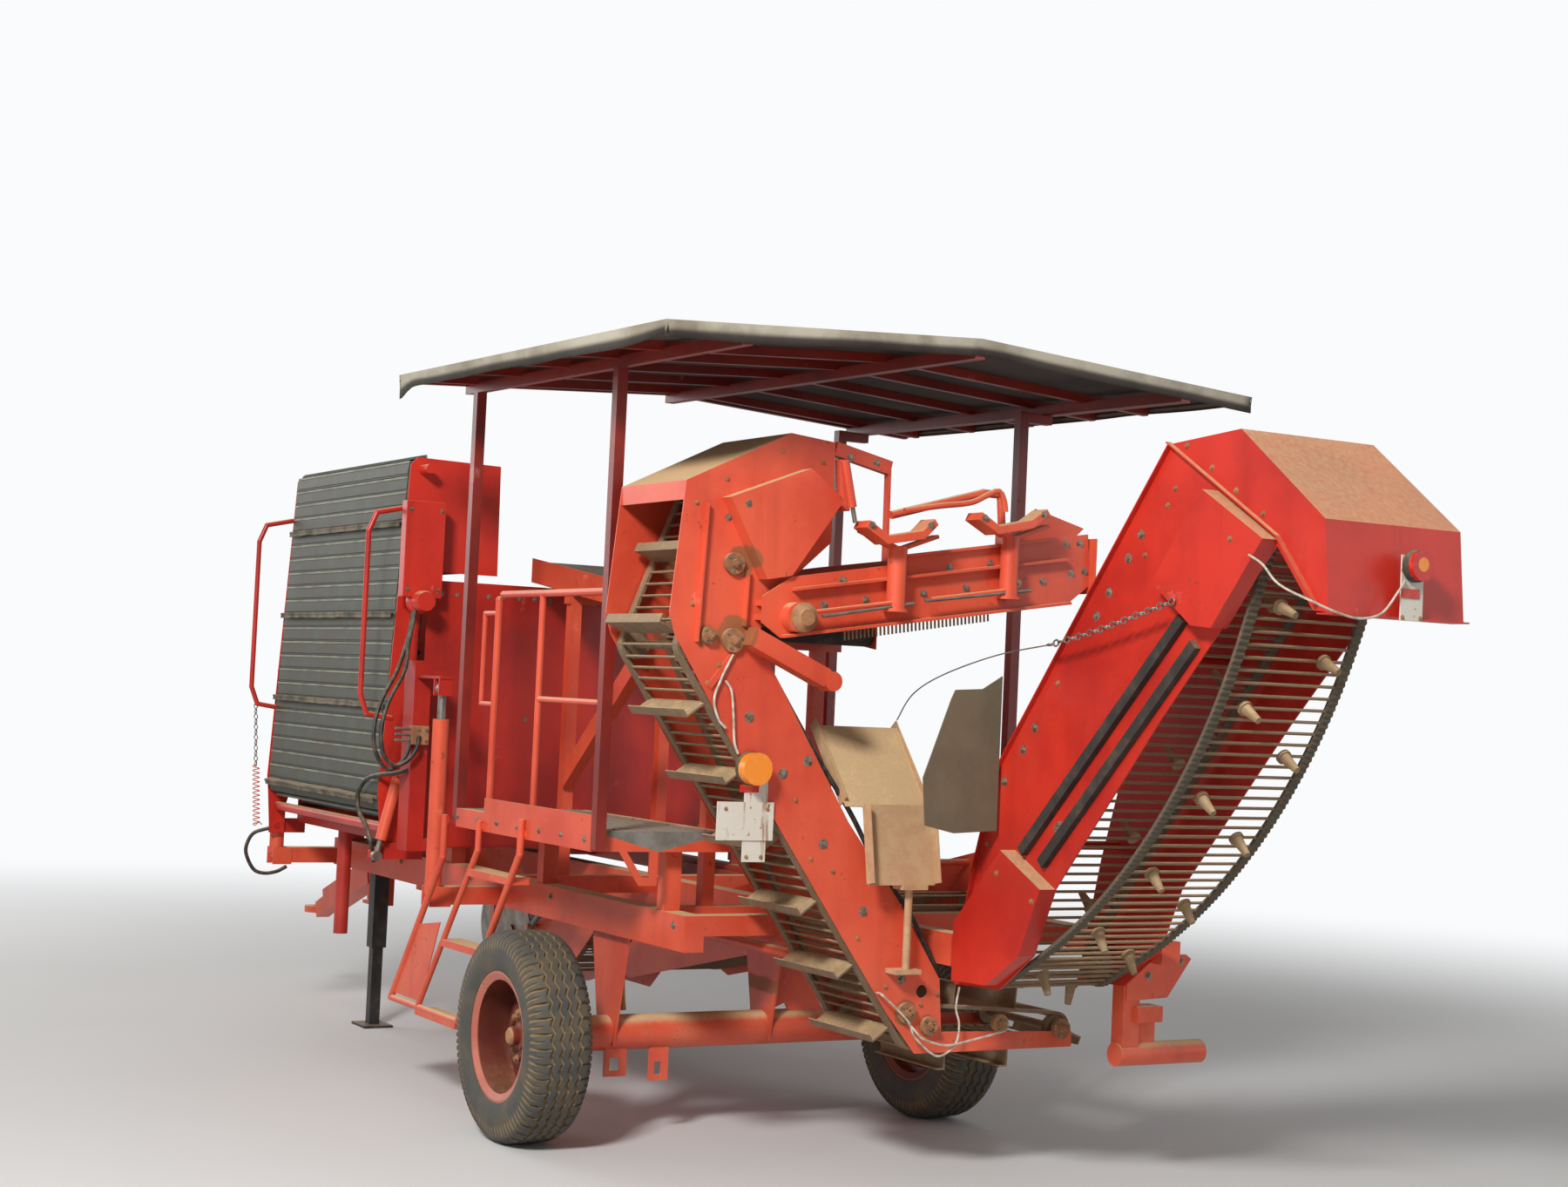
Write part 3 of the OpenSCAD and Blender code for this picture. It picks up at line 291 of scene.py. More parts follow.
def lamp_glass():
    """Red and amber lamp glass: amber inside, red round it, with moulded ribs."""
    f = Finish("lamp_glass")
    right = f.near(-0.655, 2.685, 0.024, 0.004)
    left = f.near(0.79, 1.79, 0.075, 0.003)
    amber = right.most(left)
    colour = f.mix(amber, tone(196, 34, 26), tone(240, 140, 40))
    across = f.y * 900.0
    ribs = across.sum("SINE", across) * 0.5 + 0.5
    film = f.noise(30, 5).between(0.5, 0.8) * 0.35
    return f.wear(f.mix(film, colour, DUST), 0.2 + film, (ribs, 0.3, 0.001))


def white_plate():
    """White enamelled plate with rust runs from its bolt holes."""
    f = Finish("white_plate")
    runs = f.noise(26, 6, (1, 1, 0.07)).between(0.57, 0.64) * f.noise(5, 3).between(0.4, 0.55)
    chips = f.noise(34, 8).between(0.63, 0.68)
    rust = (runs * 0.7).most(chips)
    colour = f.mix(f.noise(6, 5) * 0.4, tone(222, 218, 206), tone(178, 160, 132))
    return f.wear(f.mix(rust, colour, tone(140, 84, 42)), 0.4 + rust * 0.4, (rust, 0.2, 0.001))


# Paints: sunlit colour, worn colour, dust, rust
red_sun = paint("faded_red_paint", tone(224, 92, 62), tone(204, 70, 46), greasy=True)
red_deep = paint("deep_red_paint", tone(204, 48, 32), tone(172, 34, 26), 0.45)
# Canopy frame: the red paint darkened as painted shade; its dust and rust are the frame's own
canopy_painted_shade_red = paint("canopy_painted_shade_paint", tone(150, 44, 32), tone(112, 32, 26), 0.4, 0.9)
# Rim barrel and dish: a darker red-brown that is painted shade; its dust and rust are the rim's own
rim_painted_shade = paint(
    "rim_painted_shade_paint", tone(128, 56, 42), tone(92, 40, 32), 0.45, 0.9, top=0.4, low=0.25
)
# Bunker: its deep red paint darkened further as painted shade; its dust and rust are the bunker's
# own
bunker_painted_shade_red = paint("bunker_painted_shade_paint", tone(186, 42, 30), tone(150, 32, 26), 0.4)
rim_paint = paint(
    "pink_rim_paint", tone(206, 128, 108), tone(176, 92, 74), 0.4, 1.0, top=0.4, low=0.25
)
# Steel, rubber, cloth and wood: two colours, metallic, roughness, dust, size of the patches, bump
hub_rust = dusty("hub_rust", tone(176, 128, 88), tone(128, 76, 48), 0.2, 0.7, 0.5)
rod_steel = dusty("dusty_rod_steel", tone(140, 116, 92), tone(98, 78, 60), 0.3, 0.6, 0.7)
web_belt = dusty("web_belt", tone(92, 84, 70), tone(66, 58, 48), 0.0, 0.8, 0.6, 30)
peg_rubber = dusty("peg_rubber", tone(150, 124, 92), tone(110, 88, 64), 0.0, 0.8, 0.7, 20)
bare_steel = dusty("bare_steel", tone(150, 146, 140), tone(112, 104, 96), 0.7, 0.4, 0.35)
bolt_steel = dusty("bolt_steel", tone(160, 150, 138), tone(112, 84, 60), 0.6, 0.45, 0.3, 60)
share_steel = dusty("polished_share", tone(168, 164, 158), tone(120, 100, 82), 0.85, 0.35, 0.4, 6)
belt_rubber = dusty("belt_rubber", tone(64, 66, 62), tone(48, 50, 47), 0.0, 0.7, 0.55)
slat_rubber = dusty("slat_rubber", tone(76, 79, 69), tone(62, 61, 52), 0.0, 0.6, 0.3, 5)
# Slat lips: a lighter grey that is a painted highlight along each slat's edge
painted_highlight_lip = dusty("painted_highlight_lip", tone(138, 138, 120), tone(100, 98, 84), 0.0, 0.6, 0.3, 6)
worn_lip = dusty("worn_lip", tone(122, 112, 92), tone(58, 54, 46), 0.0, 0.8, 0.3, 9)
dark_rubber = dusty("dark_rubber", tone(42, 40, 38), tone(50, 46, 42), 0.0, 0.75, 0.35, 8)
flap_rubber = dusty("flap_rubber", tone(112, 100, 78), tone(88, 80, 64), 0.0, 0.85, 0.4, 4)
hose_rubber = dusty("hose_rubber", tone(30, 29, 29), tone(52, 46, 40), 0.0, 0.5, 0.35, 30, 0.2)
tan_hose = dusty("tan_hose_sleeve", tone(186, 146, 84), tone(150, 110, 60), 0.0, 0.7, 0.3, 40)
cable_skin = dusty("pale_cable", tone(206, 198, 184), tone(164, 146, 120), 0.0, 0.55, 0.3, 30, 0.15)
black_paint = dusty("black_paint", tone(38, 36, 36), tone(28, 27, 27), 0.0, 0.5, 0.35)
dust_sheet = dusty("dusty_sheet", tone(192, 158, 118), tone(170, 124, 90), 0.0, 0.8, 0.8)
planks = dusty("grey_planks", tone(132, 128, 120), tone(96, 90, 82), 0.0, 0.85, 0.35, 8, 0.5)
tyre_rubber, canvas, lens, plate_white = tread_rubber(), sheet_canvas(), lamp_glass(), white_plate()

# CAD nodes by finish. The others have the faded red paint.
DRESS = {
    red_deep: ["haulm_casing", "unload_frame"],
    bunker_painted_shade_red: ["bunker"],
    canopy_painted_shade_red: ["canopy_frame"],
    rim_paint: ["wheel_left", "wheel_right"],
    rod_steel: ["cross_web", "haulm_web", "pickup_web", "sieve_web"],
    bare_steel: ["lift_rods", "fold_rods", "dig_rod", "ridge_roller"],
    share_steel: ["coulter_left", "coulter_right"],
    belt_rubber: ["separator_belt", "bunker_floor"],
    slat_rubber: ["unload_belt"],
    flap_rubber: ["rubber_flap"],
    tyre_rubber: ["tyre_left", "tyre_right"],
    black_paint: ["jack_tube", "jack_leg"],
    dust_sheet: ["chutes"],
    canvas: ["canopy"],
    lens: ["lamp_lenses"],
    plate_white: ["lamp_carriers"],
}
finish_of = {node: material for material, names in DRESS.items() for node in names}
for name, node in nodes.items():
    node.data.materials.clear()
    node.data.materials.append(finish_of.get(name, red_sun))


def parted(name, finish, chosen):
    """Gives another finish to the faces of a CAD node that a test picks by their middle."""
    mesh = nodes[name].data
    mesh.materials.append(finish)
    slot = len(mesh.materials) - 1
    for face in mesh.polygons:
        if chosen(face.center.x + MID, face.center.y, face.center.z):
            face.material_index = slot


# The picking table's belt, which rises forwards
parted(
    "picking_table",
    dark_rubber,
    lambda x, y, z: -0.25 < y < 0.449 and z > 2.39 + (x + 0.64) * 0.1325 - 0.05,
)
# The floor planks
parted("platform", planks, lambda x, y, z: 0.505 < y < 1.085 and 1.437 < z < 1.4705)
# The two rubber guide rails, which run down at 45 degrees
parted(
    "haulm_casing",
    dark_rubber,
    lambda x, y, z: -0.2795 < y < -0.2495
    and -2.98 < x < -1.88
    and min(abs(x + z + rail) for rail in (0.41, 0.59)) < 0.035,
)
# Bearings of the cross elevator, each [left, up, radius]
BEARINGS = [
    (0.915, 2.640, 0.045),
    (1.020, 2.335, 0.035),
    (0.905, 2.320, 0.050),
    (-0.040, 0.750, 0.045),
    (-0.160, 0.690, 0.040),
    (-0.540, 0.690, 0.040),
    (-0.880, 0.655, 0.045),
]
parted(
    "cross_casing",
    hub_rust,
    lambda x, y, z: -1.43 < x < -1.4005
    and any(math.hypot(y - left, z - up) <= radius + 0.001 for left, up, radius in BEARINGS),
)


def off_axle(x, z):
    """The distance from the axle's line."""
    return math.hypot(x, z - WHEEL_RADIUS)


# Hub caps, and the inner part of the rims in a darker paint that is painted shade
for wheel in ("wheel_left", "wheel_right"):
    parted(wheel, hub_rust, lambda x, y, z: abs(y) > 1.146 and off_axle(x, z) < 0.075)
    parted(wheel, rim_painted_shade, lambda x, y, z: 0.085 < off_axle(x, z) < 0.215 or abs(y) < 1.19)


class Shape(Graph):
    """A geometry tree with named inputs. It ends in one mesh of one finish."""

    def __init__(self, name):
        self.tree = bpy.data.node_groups.new(name, "GeometryNodeTree")
        for way in ("INPUT", "OUTPUT"):
            self.tree.interface.new_socket("Geometry", in_out=way, socket_type="NodeSocketGeometry")
        self.entry = self.tree.nodes.new("NodeGroupInput")
        self.exit = self.tree.nodes.new("NodeGroupOutput")
        self.given = Value(self, self.entry.outputs[0])

    def size(self, name, kind="Float"):
        """A new named input of the tree."""
        self.tree.interface.new_socket(name, in_out="INPUT", socket_type="NodeSocket" + kind)
        return Value(self, self.entry.outputs[name])

    def on_points(self, piece, **more):
        """The piece at every given point, its Z axis turned to the point's facing."""
        kind = {"data_type": "FLOAT_VECTOR"}
        facing = self.add("GeometryNodeInputNamedAttribute", kind, ["facing"])
        turn = self.add("FunctionNodeAlignRotationToVector", {"axis": "Z"}, {"Vector": facing})
        values = {"Points": self.given, "Instance": piece, "Rotation": turn, **more}
        return self.add("GeometryNodeInstanceOnPoints", (), values)

    def curves(self):
        """The given lines as smooth curves."""
        curve = self.add("GeometryNodeMeshToCurve", (), [self.given])
        return self.add("GeometryNodeCurveSplineType", {"spline_type": "CATMULL_ROM"}, [curve])

    def circle(self, sides, radius):
        """A ring round Z, to sweep along a curve or to sweep another along."""
        values = {"Resolution": sides, "Radius": radius}
        return self.add("GeometryNodeCurvePrimitiveCircle", (), values)

    def moved(self, piece, **how):
        """The piece with a Translation, Rotation or Scale."""
        return self.add("GeometryNodeTransform", (), {"Geometry": piece, **how})

    def joined(self, *parts):
        """Several pieces as one. Their links go to the same socket, so add can't make them."""
        node = self.tree.nodes.new("GeometryNodeJoinGeometry")
        for part in parts:
            self.tree.links.new(part.socket, node.inputs[0])
        return Value(self, node.outputs[0])

    def drum(self, sides, radius, depth, height):
        """A disc or prism round Z, its middle at height."""
        values = {"Vertices": sides, "Radius": radius, "Depth": depth}
        disc = self.add("GeometryNodeMeshCylinder", {"fill_type": "NGON"}, values)
        place = self.add("ShaderNodeCombineXYZ", (), [0.0, 0.0, height])
        return self.moved(disc, Translation=place)

    def close(self, shape):
        """Ends the tree in plain faces of the finish that its last input names."""
        whole = self.add("GeometryNodeRealizeInstances", (), [shape])
        values = {"Geometry": whole, "Material": self.size("Finish", "Material")}
        dressed = self.add("GeometryNodeSetMaterial", (), values)
        self.tree.links.new(dressed.socket, self.exit.inputs[0])
        return self


def bolt_shape():
    """A hexagon bolt head on its washer at every point, of the point's size."""
    g = Shape("bolt_heads")
    washer = g.drum(18, g.size("Washer"), 0.16, 0.08)
    head = g.drum(6, 1.0, 0.66, 0.49)
    thread = g.drum(10, 0.52, 0.4, 0.9)
    size = g.add("GeometryNodeInputNamedAttribute", {"data_type": "FLOAT"}, ["size"])
    return g.close(g.on_points(g.joined(washer, head, thread), Scale=size))


def tube_shape():
    """A round tube along every line, its bends smoothed and its ends closed."""
    g = Shape("bent_tubes")
    ring = g.circle(12, g.size("Radius"))
    values = {"Curve": g.curves(), "Length": g.size("Step")}
    line = g.add("GeometryNodeResampleCurve", {"mode": "LENGTH"}, values)
    values = {"Curve": line, "Profile Curve": ring, "Fill Caps": True}
    tube = g.add("GeometryNodeCurveToMesh", (), values)
    return g.close(g.add("GeometryNodeSetShadeSmooth", (), [tube]))


def chain_shape():
    """Oval links along every line, each turned a quarter from the one before."""
    g = Shape("chain_links")
    pitch = g.size("Pitch")
    quarter = math.pi / 2
    oval = g.circle(10, pitch * 0.5)
    oval = g.moved(oval, Rotation=(quarter, 0.0, 0.0), Scale=(0.72, 1.0, 1.32))
    values = {"Curve": oval, "Profile Curve": g.circle(6, g.size("Wire"))}
    link = g.add("GeometryNodeCurveToMesh", (), values)
    values = {"Curve": g.curves(), "Length": pitch}
    points = g.add("GeometryNodeCurveToPoints", {"mode": "LENGTH"}, values)
    along = Value(g, points.socket.node.outputs["Rotation"])
    angles = [0.0, 0.0, g.add("GeometryNodeInputIndex") * quarter]
    turn = g.add("FunctionNodeEulerToRotation", (), [g.add("ShaderNodeCombineXYZ", (), angles)])
    spin = g.add("FunctionNodeRotateRotation", {"rotation_space": "LOCAL"}, [along, turn])
    values = {"Points": points, "Instance": link, "Rotation": spin}
    return g.close(g.add("GeometryNodeInstanceOnPoints", (), values))


BOLTS, TUBES, CHAIN = bolt_shape(), tube_shape(), chain_shape()


def placed(name, mesh, body):
    """A new piece of the scene that rides on a body, if one is named."""
    piece = bpy.data.objects.new(name, mesh)
    scene.collection.objects.link(piece)
    if body:
        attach(piece, body)
    return piece


def grown(name, shape, base, body, **sizes):
    """A piece that a geometry tree makes from a mesh of points or lines, as a plain mesh."""
    holder = bpy.data.objects.new(name + "_base", base)
    scene.collection.objects.link(holder)
    tool = holder.modifiers.new("shape", "NODES")
    tool.node_group = shape.tree
    for socket in shape.tree.interface.items_tree:
        if socket.name in sizes:
            tool[socket.identifier] = sizes[socket.name]
    seen = holder.evaluated_get(bpy.context.evaluated_depsgraph_get())
    mesh = bpy.data.meshes.new_from_object(seen)
    bpy.data.objects.remove(holder)
    return placed(name, mesh, body)


def spots(rows):
    """A mesh of points, each [place, facing, size], for a tree that sets a piece on them."""
    mesh = bpy.data.meshes.new("spots")
    mesh.from_pydata([row[0] for row in rows], [], [])
    facing = mesh.attributes.new("facing", "FLOAT_VECTOR", "POINT")
    facing.data.foreach_set("vector", [v for row in rows for v in row[1]])
    size = mesh.attributes.new("size", "FLOAT", "POINT")
    size.data.foreach_set("value", [row[2] for row in rows])
    return mesh


def lines(*paths):
    """A mesh of open lines through points of the frame, for a tree that follows them."""
    mesh = bpy.data.meshes.new("lines")
    points, edges = [], []
    for path in paths:
        edges += [(len(points) + i, len(points) + i + 1) for i in range(len(path) - 1)]
        points += path
    mesh.from_pydata(points, edges, [])
    return mesh


REAR, LEFT, RIGHT, UP = (Vector(v) for v in ((-1, 0, 0), (0, 1, 0), (0, -1, 0), (0, 0, 1)))
skins = {}


def landed(name, spot, facing):
    """The point near spot where a line against facing meets a CAD node, or None."""
    ahead, reach = 0.09, 0.4
    if name not in skins:
        mesh = nodes[name].data
        faces = [face.vertices[:] for face in mesh.polygons]
        skins[name] = BVHTree.FromPolygons([v.co for v in mesh.vertices], faces)
    return skins[name].ray_cast(spot + facing * ahead, -facing, reach)[0]


def bolts(name, body, finish, facing, places, size, washer, on=None):
    """Bolt heads that look along facing, each let down on a CAD node where one is named."""
    found = [here(*place) for place in places]
    if on:
        found = [landed(on, spot, facing) for spot in found]
    base = spots([(spot, facing, size) for spot in found if spot is not None])
    grown(name, BOLTS, base, body, Washer=washer, Finish=finish)


def flat_x(x, *yz):
    """Points that are all at one x."""
    return [(x, y, z) for y, z in yz]


def flat_y(y, *xz):
    """Points that are all at one y."""
    return [(x, y, z) for x, z in xz]


def rear_bolts(name, body, on, x, places, size, washer, finish=bolt_steel):
    """Bolt heads on a plate that faces backwards, at places [left, up]."""
    bolts(name, body, finish, REAR, flat_x(x, *places), size, washer, on)


def side_bolts(name, body, on, facing, y, places, size, washer, finish=bolt_steel):
    """Bolt heads on a plate that faces left or right, at places [forward, up]."""
    bolts(name, body, finish, facing, flat_y(y, *places), size, washer, on)


def tubes(name, body, finish, radius, *paths, step=0.02):
    """Round rods or pipes, each through its points."""
    base = lines(*[[here(*p) for p in path] for path in paths])
    grown(name, TUBES, base, body, Radius=radius, Step=step, Finish=finish)


def finished(name, shape, finish):
    """The mesh of a bmesh in one finish, its faces turned outwards."""
    bmesh.ops.recalc_face_normals(shape, faces=shape.faces)
    mesh = bpy.data.meshes.new(name)
    shape.to_mesh(mesh)
    shape.free()
    mesh.materials.append(finish)
    return mesh


def plates(name, body, finish, shapes, bevel):
    """Upright plates across the machine, each [rear face, thickness, outline seen from behind]."""
    mesh = bmesh.new()
    for start, thick, outline in shapes:
        low = [mesh.verts.new(here(start, *p)) for p in outline]
        high = [mesh.verts.new(v.co + Vector((thick, 0.0, 0.0))) for v in low]
        mesh.faces.new(low)
        mesh.faces.new(high[::-1])
        for i in range(len(low)):
            j = (i + 1) % len(low)
            mesh.faces.new((low[j], low[i], high[i], high[j]))
    bmesh.ops.recalc_face_normals(mesh, faces=mesh.faces)
    edges = mesh.edges[:]
    bmesh.ops.bevel(mesh, geom=edges, offset=bevel, segments=2, affect="EDGES", profile=0.6)
    placed(name, finished(name, mesh, finish), body)


def rectangle(right, low, left, high):
    """The outline of a plate with square corners."""
    return [(right, low), (left, low), (left, high), (right, high)]


def turned(name, body, finish, axis, start, middle, profile, sides=32):
    """A round piece about a line along x or y: profile is [distance along it, radius]."""
    mesh = bmesh.new()
    rings = []
    for along, radius in profile:
        ring = []
        for k in range(sides):
            angle = 2 * math.pi * k / sides
            a = middle[0] + radius * math.cos(angle)
            z = middle[1] + radius * math.sin(angle)
            spot = (start + along, a, z) if axis == "x" else (a, start + along, z)
            ring.append(mesh.verts.new(here(*spot)))
        rings.append(ring)
    for low, high in zip(rings, rings[1:]):
        for k in range(sides):
            j = (k + 1) % sides
            mesh.faces.new((low[k], low[j], high[j], high[k]))
    mesh.faces.new(rings[0])
    mesh.faces.new(rings[-1])
    data = finished(name, mesh, finish)
    data.shade_smooth()
    data.set_sharp_from_angle(angle=0.7)
    placed(name, data, body)


def smooth(points):
    """Points close together on a Catmull-Rom curve through the given ones."""
    step = 0.012
    ends = [points[0] * 2 - points[1]] + points + [points[-1] * 2 - points[-2]]
    path = []
    for a, b, c, d in zip(ends, ends[1:], ends[2:], ends[3:]):
        count = max(2, round((c - b).length / step))
        square, cube = 2 * a - 5 * b + 4 * c - d, 3 * b - a - 3 * c + d
        for k in range(count):
            t = k / count
            path.append(0.5 * (2 * b + (c - a) * t + square * t**2 + cube * t**3))
    path.append(points[-1])
    return path


def hose(name, body, finish, diameter, points):
    """A hose or cable between two fittings. One given a pair of bodies rides on neither of them,
    its transform baked into its mesh.
    """
    path = smooth([here(*p) for p in points])
    length = sum((b - a).length for a, b in zip(path, path[1:]))
    bends = not isinstance(body, str)
    sizes = {"Radius": diameter / 2, "Step": 0.014, "Finish": finish}
    piece = grown(name, TUBES, lines(path), None if bends else body, **sizes)
    if bends:
        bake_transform(piece)


def tyre(side):
    """Implement tyre with four zigzag grooves and shoulder lugs, built round its circumference."""
    radius, half, bead = WHEEL_RADIUS, 0.15, 0.295
    wall = [(0.70, bead - 0.0195), (0.77, bead + 0.0035), (0.88, bead + 0.0035)]
    wall += [(0.94, bead + 0.022), (0.985, bead + 0.050), (1.0, bead + 0.080)]
    wall += [(0.985, radius - 0.088), (0.965, radius - 0.055)]
    shoulder = [(0.925, radius - 0.032), (0.86, radius - 0.019)]
    shoulder += [(0.72, radius - 0.0075), (0.64, radius - 0.004)]
    crown = []
    for groove in (0.45, 0.15, -0.15, -0.45):
        crown += [(groove + 0.062, 0.0), (groove + 0.044, 0.014)]
        crown += [(groove - 0.044, 0.014), (groove - 0.062, 0.0)]
    section = [(a, r, "wall") for a, r in wall] + [(a, r, "lug") for a, r in shoulder]
    for a, drop in crown:
        section.append((a, radius - 0.004 * a * a - drop, "deep" if drop else "crown"))
    section += [(-a, r, "lug") for a, r in reversed(shoulder)]
    section += [(-a, r, "wall") for a, r in reversed(wall)]
    blocks, slot_depth = 44, 0.015
    steps = (0.0, 0.04, 0.21, 0.25, 0.50, 0.54, 0.68, 0.72)
    points, depths = [], []
    for block in range(blocks):
        for step in steps:
            angle = 2 * math.pi * (block + step) / blocks
            zig = 0.058 * (4 * abs((step + 0.25) % 1.0 - 0.5) - 1)
            for across, r, kind in section:
                notch = 0.04 <= step < 0.23 or (0.54 <= step < 0.70 and abs(across) > 0.80)
                slot = notch and (kind == "lug" or 0.96 < abs(across) < 0.97)
                shift = zig if kind in ("deep", "crown") or abs(across) < 0.66 else 0.0
                low = r - (slot_depth if slot else 0.0)
                y = side * HALF_TRACK + (across + shift) * half
                points.append(here(low * math.sin(angle), y, radius + low * math.cos(angle)))
                depths.append(1.0 if kind == "deep" or slot else 0.15)
    count, rounds = len(section), blocks * len(steps)
    faces = []
    for i in range(rounds):
        for j in range(count):
            k, m = (i + 1) % rounds, (j + 1) % count
            faces.append((i * count + j, i * count + m, k * count + m, k * count + j))
    mesh = bpy.data.meshes.new("tyre")
    mesh.from_pydata(points, [], faces)
    mark = mesh.attributes.new("depth", "FLOAT", "POINT")
    mark.data.foreach_set("value", depths)
    shape = bmesh.new()
    shape.from_mesh(mesh)
    bmesh.ops.recalc_face_normals(shape, faces=shape.faces)
    shape.to_mesh(mesh)
    shape.free()
    mesh.shade_smooth()
    mesh.set_sharp_from_angle(angle=0.6)
    mesh.materials.append(tyre_rubber)
    return mesh


def wheels():
    """Tyres, and the eight nuts of each wheel."""
    circle = 0.105
    around = [math.pi * k / 4 for k in range(8)]
    for word, side, facing in (("left", 1, LEFT), ("right", -1, RIGHT)):
        wheel = f"wheel_{word}"
        piece = placed(f"treaded_tyre_{word}", tyre(side), wheel)
        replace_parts(piece, f"tyre_{word}")
        ring = [(circle * math.sin(a), WHEEL_RADIUS + circle * math.cos(a)) for a in around]
        nuts = flat_y(side * 1.3, *ring)
        bolts(f"wheel_nuts_{word}", wheel, hub_rust, facing, nuts, 0.016, 1.3, wheel)


def canopy():
    """One tarpaulin over the bars, slack between them, with wavy hems."""
    rear, front, wide = -1.83, 1.03, 1.5
    bars = [rear, -1.798, -1.10, -0.69, -0.18, 0.35, 0.88, 0.998, front]
    eaves, ridge, slope, under = 3.555, 0.095, 0.01571, 0.008
    deep_hem, low_hem = 0.072, 0.036
    inset, columns = 0.005, 60
    along = [("hem", rear, 2), ("hem", rear, 1)]
    for a, b in zip(bars, bars[1:]):
        count = max(1, round((b - a) / 0.05))
        shares = [k / count for k in range(count)]
        along += [("top", a + (b - a) * t, math.sin(math.pi * t)) for t in shares]
    along += [("top", front, 0.0), ("hem", front, 1), ("hem", front, 2)]
    across = [("hem", -wide, 2), ("hem", -wide, 1)]
    across += [("top", -wide + 2 * wide * k / columns, 0) for k in range(columns + 1)]
    across += [("hem", wide, 1), ("hem", wide, 2)]
    mesh = bmesh.new()
    grid = {}
    for i, (end, x, fall) in enumerate(along):
        for j, (edge, y, step) in enumerate(across):
            if end == edge == "hem":
                continue
            top = eaves + ridge * (1 - abs(y) / wide) + slope * (x - rear) - under
            wave = ripple(Vector((x * 3.1, y * 3.1, 0.3)))
            px, py, pz = x, y, top
            if end == edge == "top":
                slack = fall * (0.010 + 0.006 * wave) * min(1.0, (wide - abs(y)) / 0.1)
                pz -= max(0.0, slack)
            if end == "hem":
                deep = (deep_hem if x < 0 else low_hem) * (1 + 0.12 * wave)
                pz -= deep * fall / 2
                px += (inset + 0.006 * abs(wave) * fall / 2) * (1 if x < 0 else -1)
            if edge == "hem":
                deep = (deep_hem if y > 0 else low_hem) * (1 + 0.12 * wave)
                if y > 0:
                    deep += 0.05 * math.exp(-(((x - front) / 0.1) ** 2))
                    deep -= 0.02 * math.exp(-(((x - rear) / 0.2) ** 2))
                pz -= deep * step / 2
                py -= (inset + 0.006 * abs(wave) * step / 2) * (1 if y > 0 else -1)
            grid[i, j] = mesh.verts.new(here(px, py, pz))
    for i in range(len(along) - 1):
        for j in range(len(across) - 1):
            ring = [grid.get(k) for k in ((i, j), (i + 1, j), (i + 1, j + 1), (i, j + 1))]
            if all(ring):
                mesh.faces.new(ring)
    data = finished("canopy_sheet", mesh, canvas)
    if sum(p.normal.z * p.area for p in data.polygons) < 0:
        data.flip_normals()
    data.shade_smooth()
    piece = placed("canopy_sheet", data, "chassis")
    thick = piece.modifiers.new("cloth", "SOLIDIFY")
    thick.thickness, thick.offset = 0.003, -1
    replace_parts(piece, "canopy")


def belt_path(wheels, turn_step):
    """The closed line of a belt round wheels [x, z, radius], in steps of turn_step(radius)."""
    count = len(wheels)

    def heading(a, b):
        """The angle of the straight run from wheel a to wheel b."""
        straight = math.atan2(b[1] - a[1], b[0] - a[0])
        return straight + math.asin((a[2] - b[2]) / math.hypot(b[0] - a[0], b[1] - a[1]))

    path = []
    for i, (x, z, radius) in enumerate(wheels):
        start = heading(wheels[i - 1], wheels[i])
        sweep = (heading(wheels[i], wheels[(i + 1) % count]) - start) % (2 * math.pi)
        pieces = max(1, math.ceil(sweep / turn_step(radius)))
        for k in range(pieces + 1):
            angle = start + sweep * k / pieces
            path.append((x + radius * math.sin(angle), z - radius * math.cos(angle)))
    return path


def web_spots(path, pitch):
    """Places a pitch apart on the closed line, each with the direction that points out of it."""
    group = 8  # the pegs stand on two rods of each eight
    lengths = [math.dist(a, b) for a, b in zip(path, path[1:] + path[:1])]
    count = round(sum(lengths) / pitch / group) * group
    gap = sum(lengths) / count
    found, gone, i = [], 0.0, 0
    for k in range(count):
        while gone + lengths[i] < k * gap:
            gone += lengths[i]
            i += 1
        a, b = path[i], path[(i + 1) % len(path)]
        share = (k * gap - gone) / lengths[i]
        along = ((b[0] - a[0]) / lengths[i], (b[1] - a[1]) / lengths[i])
        x, z = a[0] + (b[0] - a[0]) * share, a[1] + (b[1] - a[1]) * share
        found.append((x, z, along[1], -along[0]))
    return found


def bar_shape():
    """A round bar at every point, along the point's facing."""
    g = Shape("web_rods")
    values = {"Vertices": 8, "Radius": g.size("Radius"), "Depth": g.size("Length")}
    bar = g.add("GeometryNodeMeshCylinder", {"fill_type": "NGON"}, values)
    return g.close(g.on_points(bar))


def peg_shape():
    """A tapered rubber peg with a round foot at every point, standing out along the facing."""
    g = Shape("web_pegs")
    values = {"Vertices": 16, "Radius Top": 0.014, "Radius Bottom": 0.025}
    values["Depth"] = g.size("Length")
    cone = g.add("GeometryNodeMeshCone", {"fill_type": "NGON"}, values)
    pegs = g.on_points(g.joined(cone, g.drum(16, 0.031, 0.016, 0.002)))
    values = {"Geometry": pegs, "Shade Smooth": False}
    return g.close(g.add("GeometryNodeSetShadeSmooth", (), values))


BARS, PEGS = bar_shape(), peg_shape()


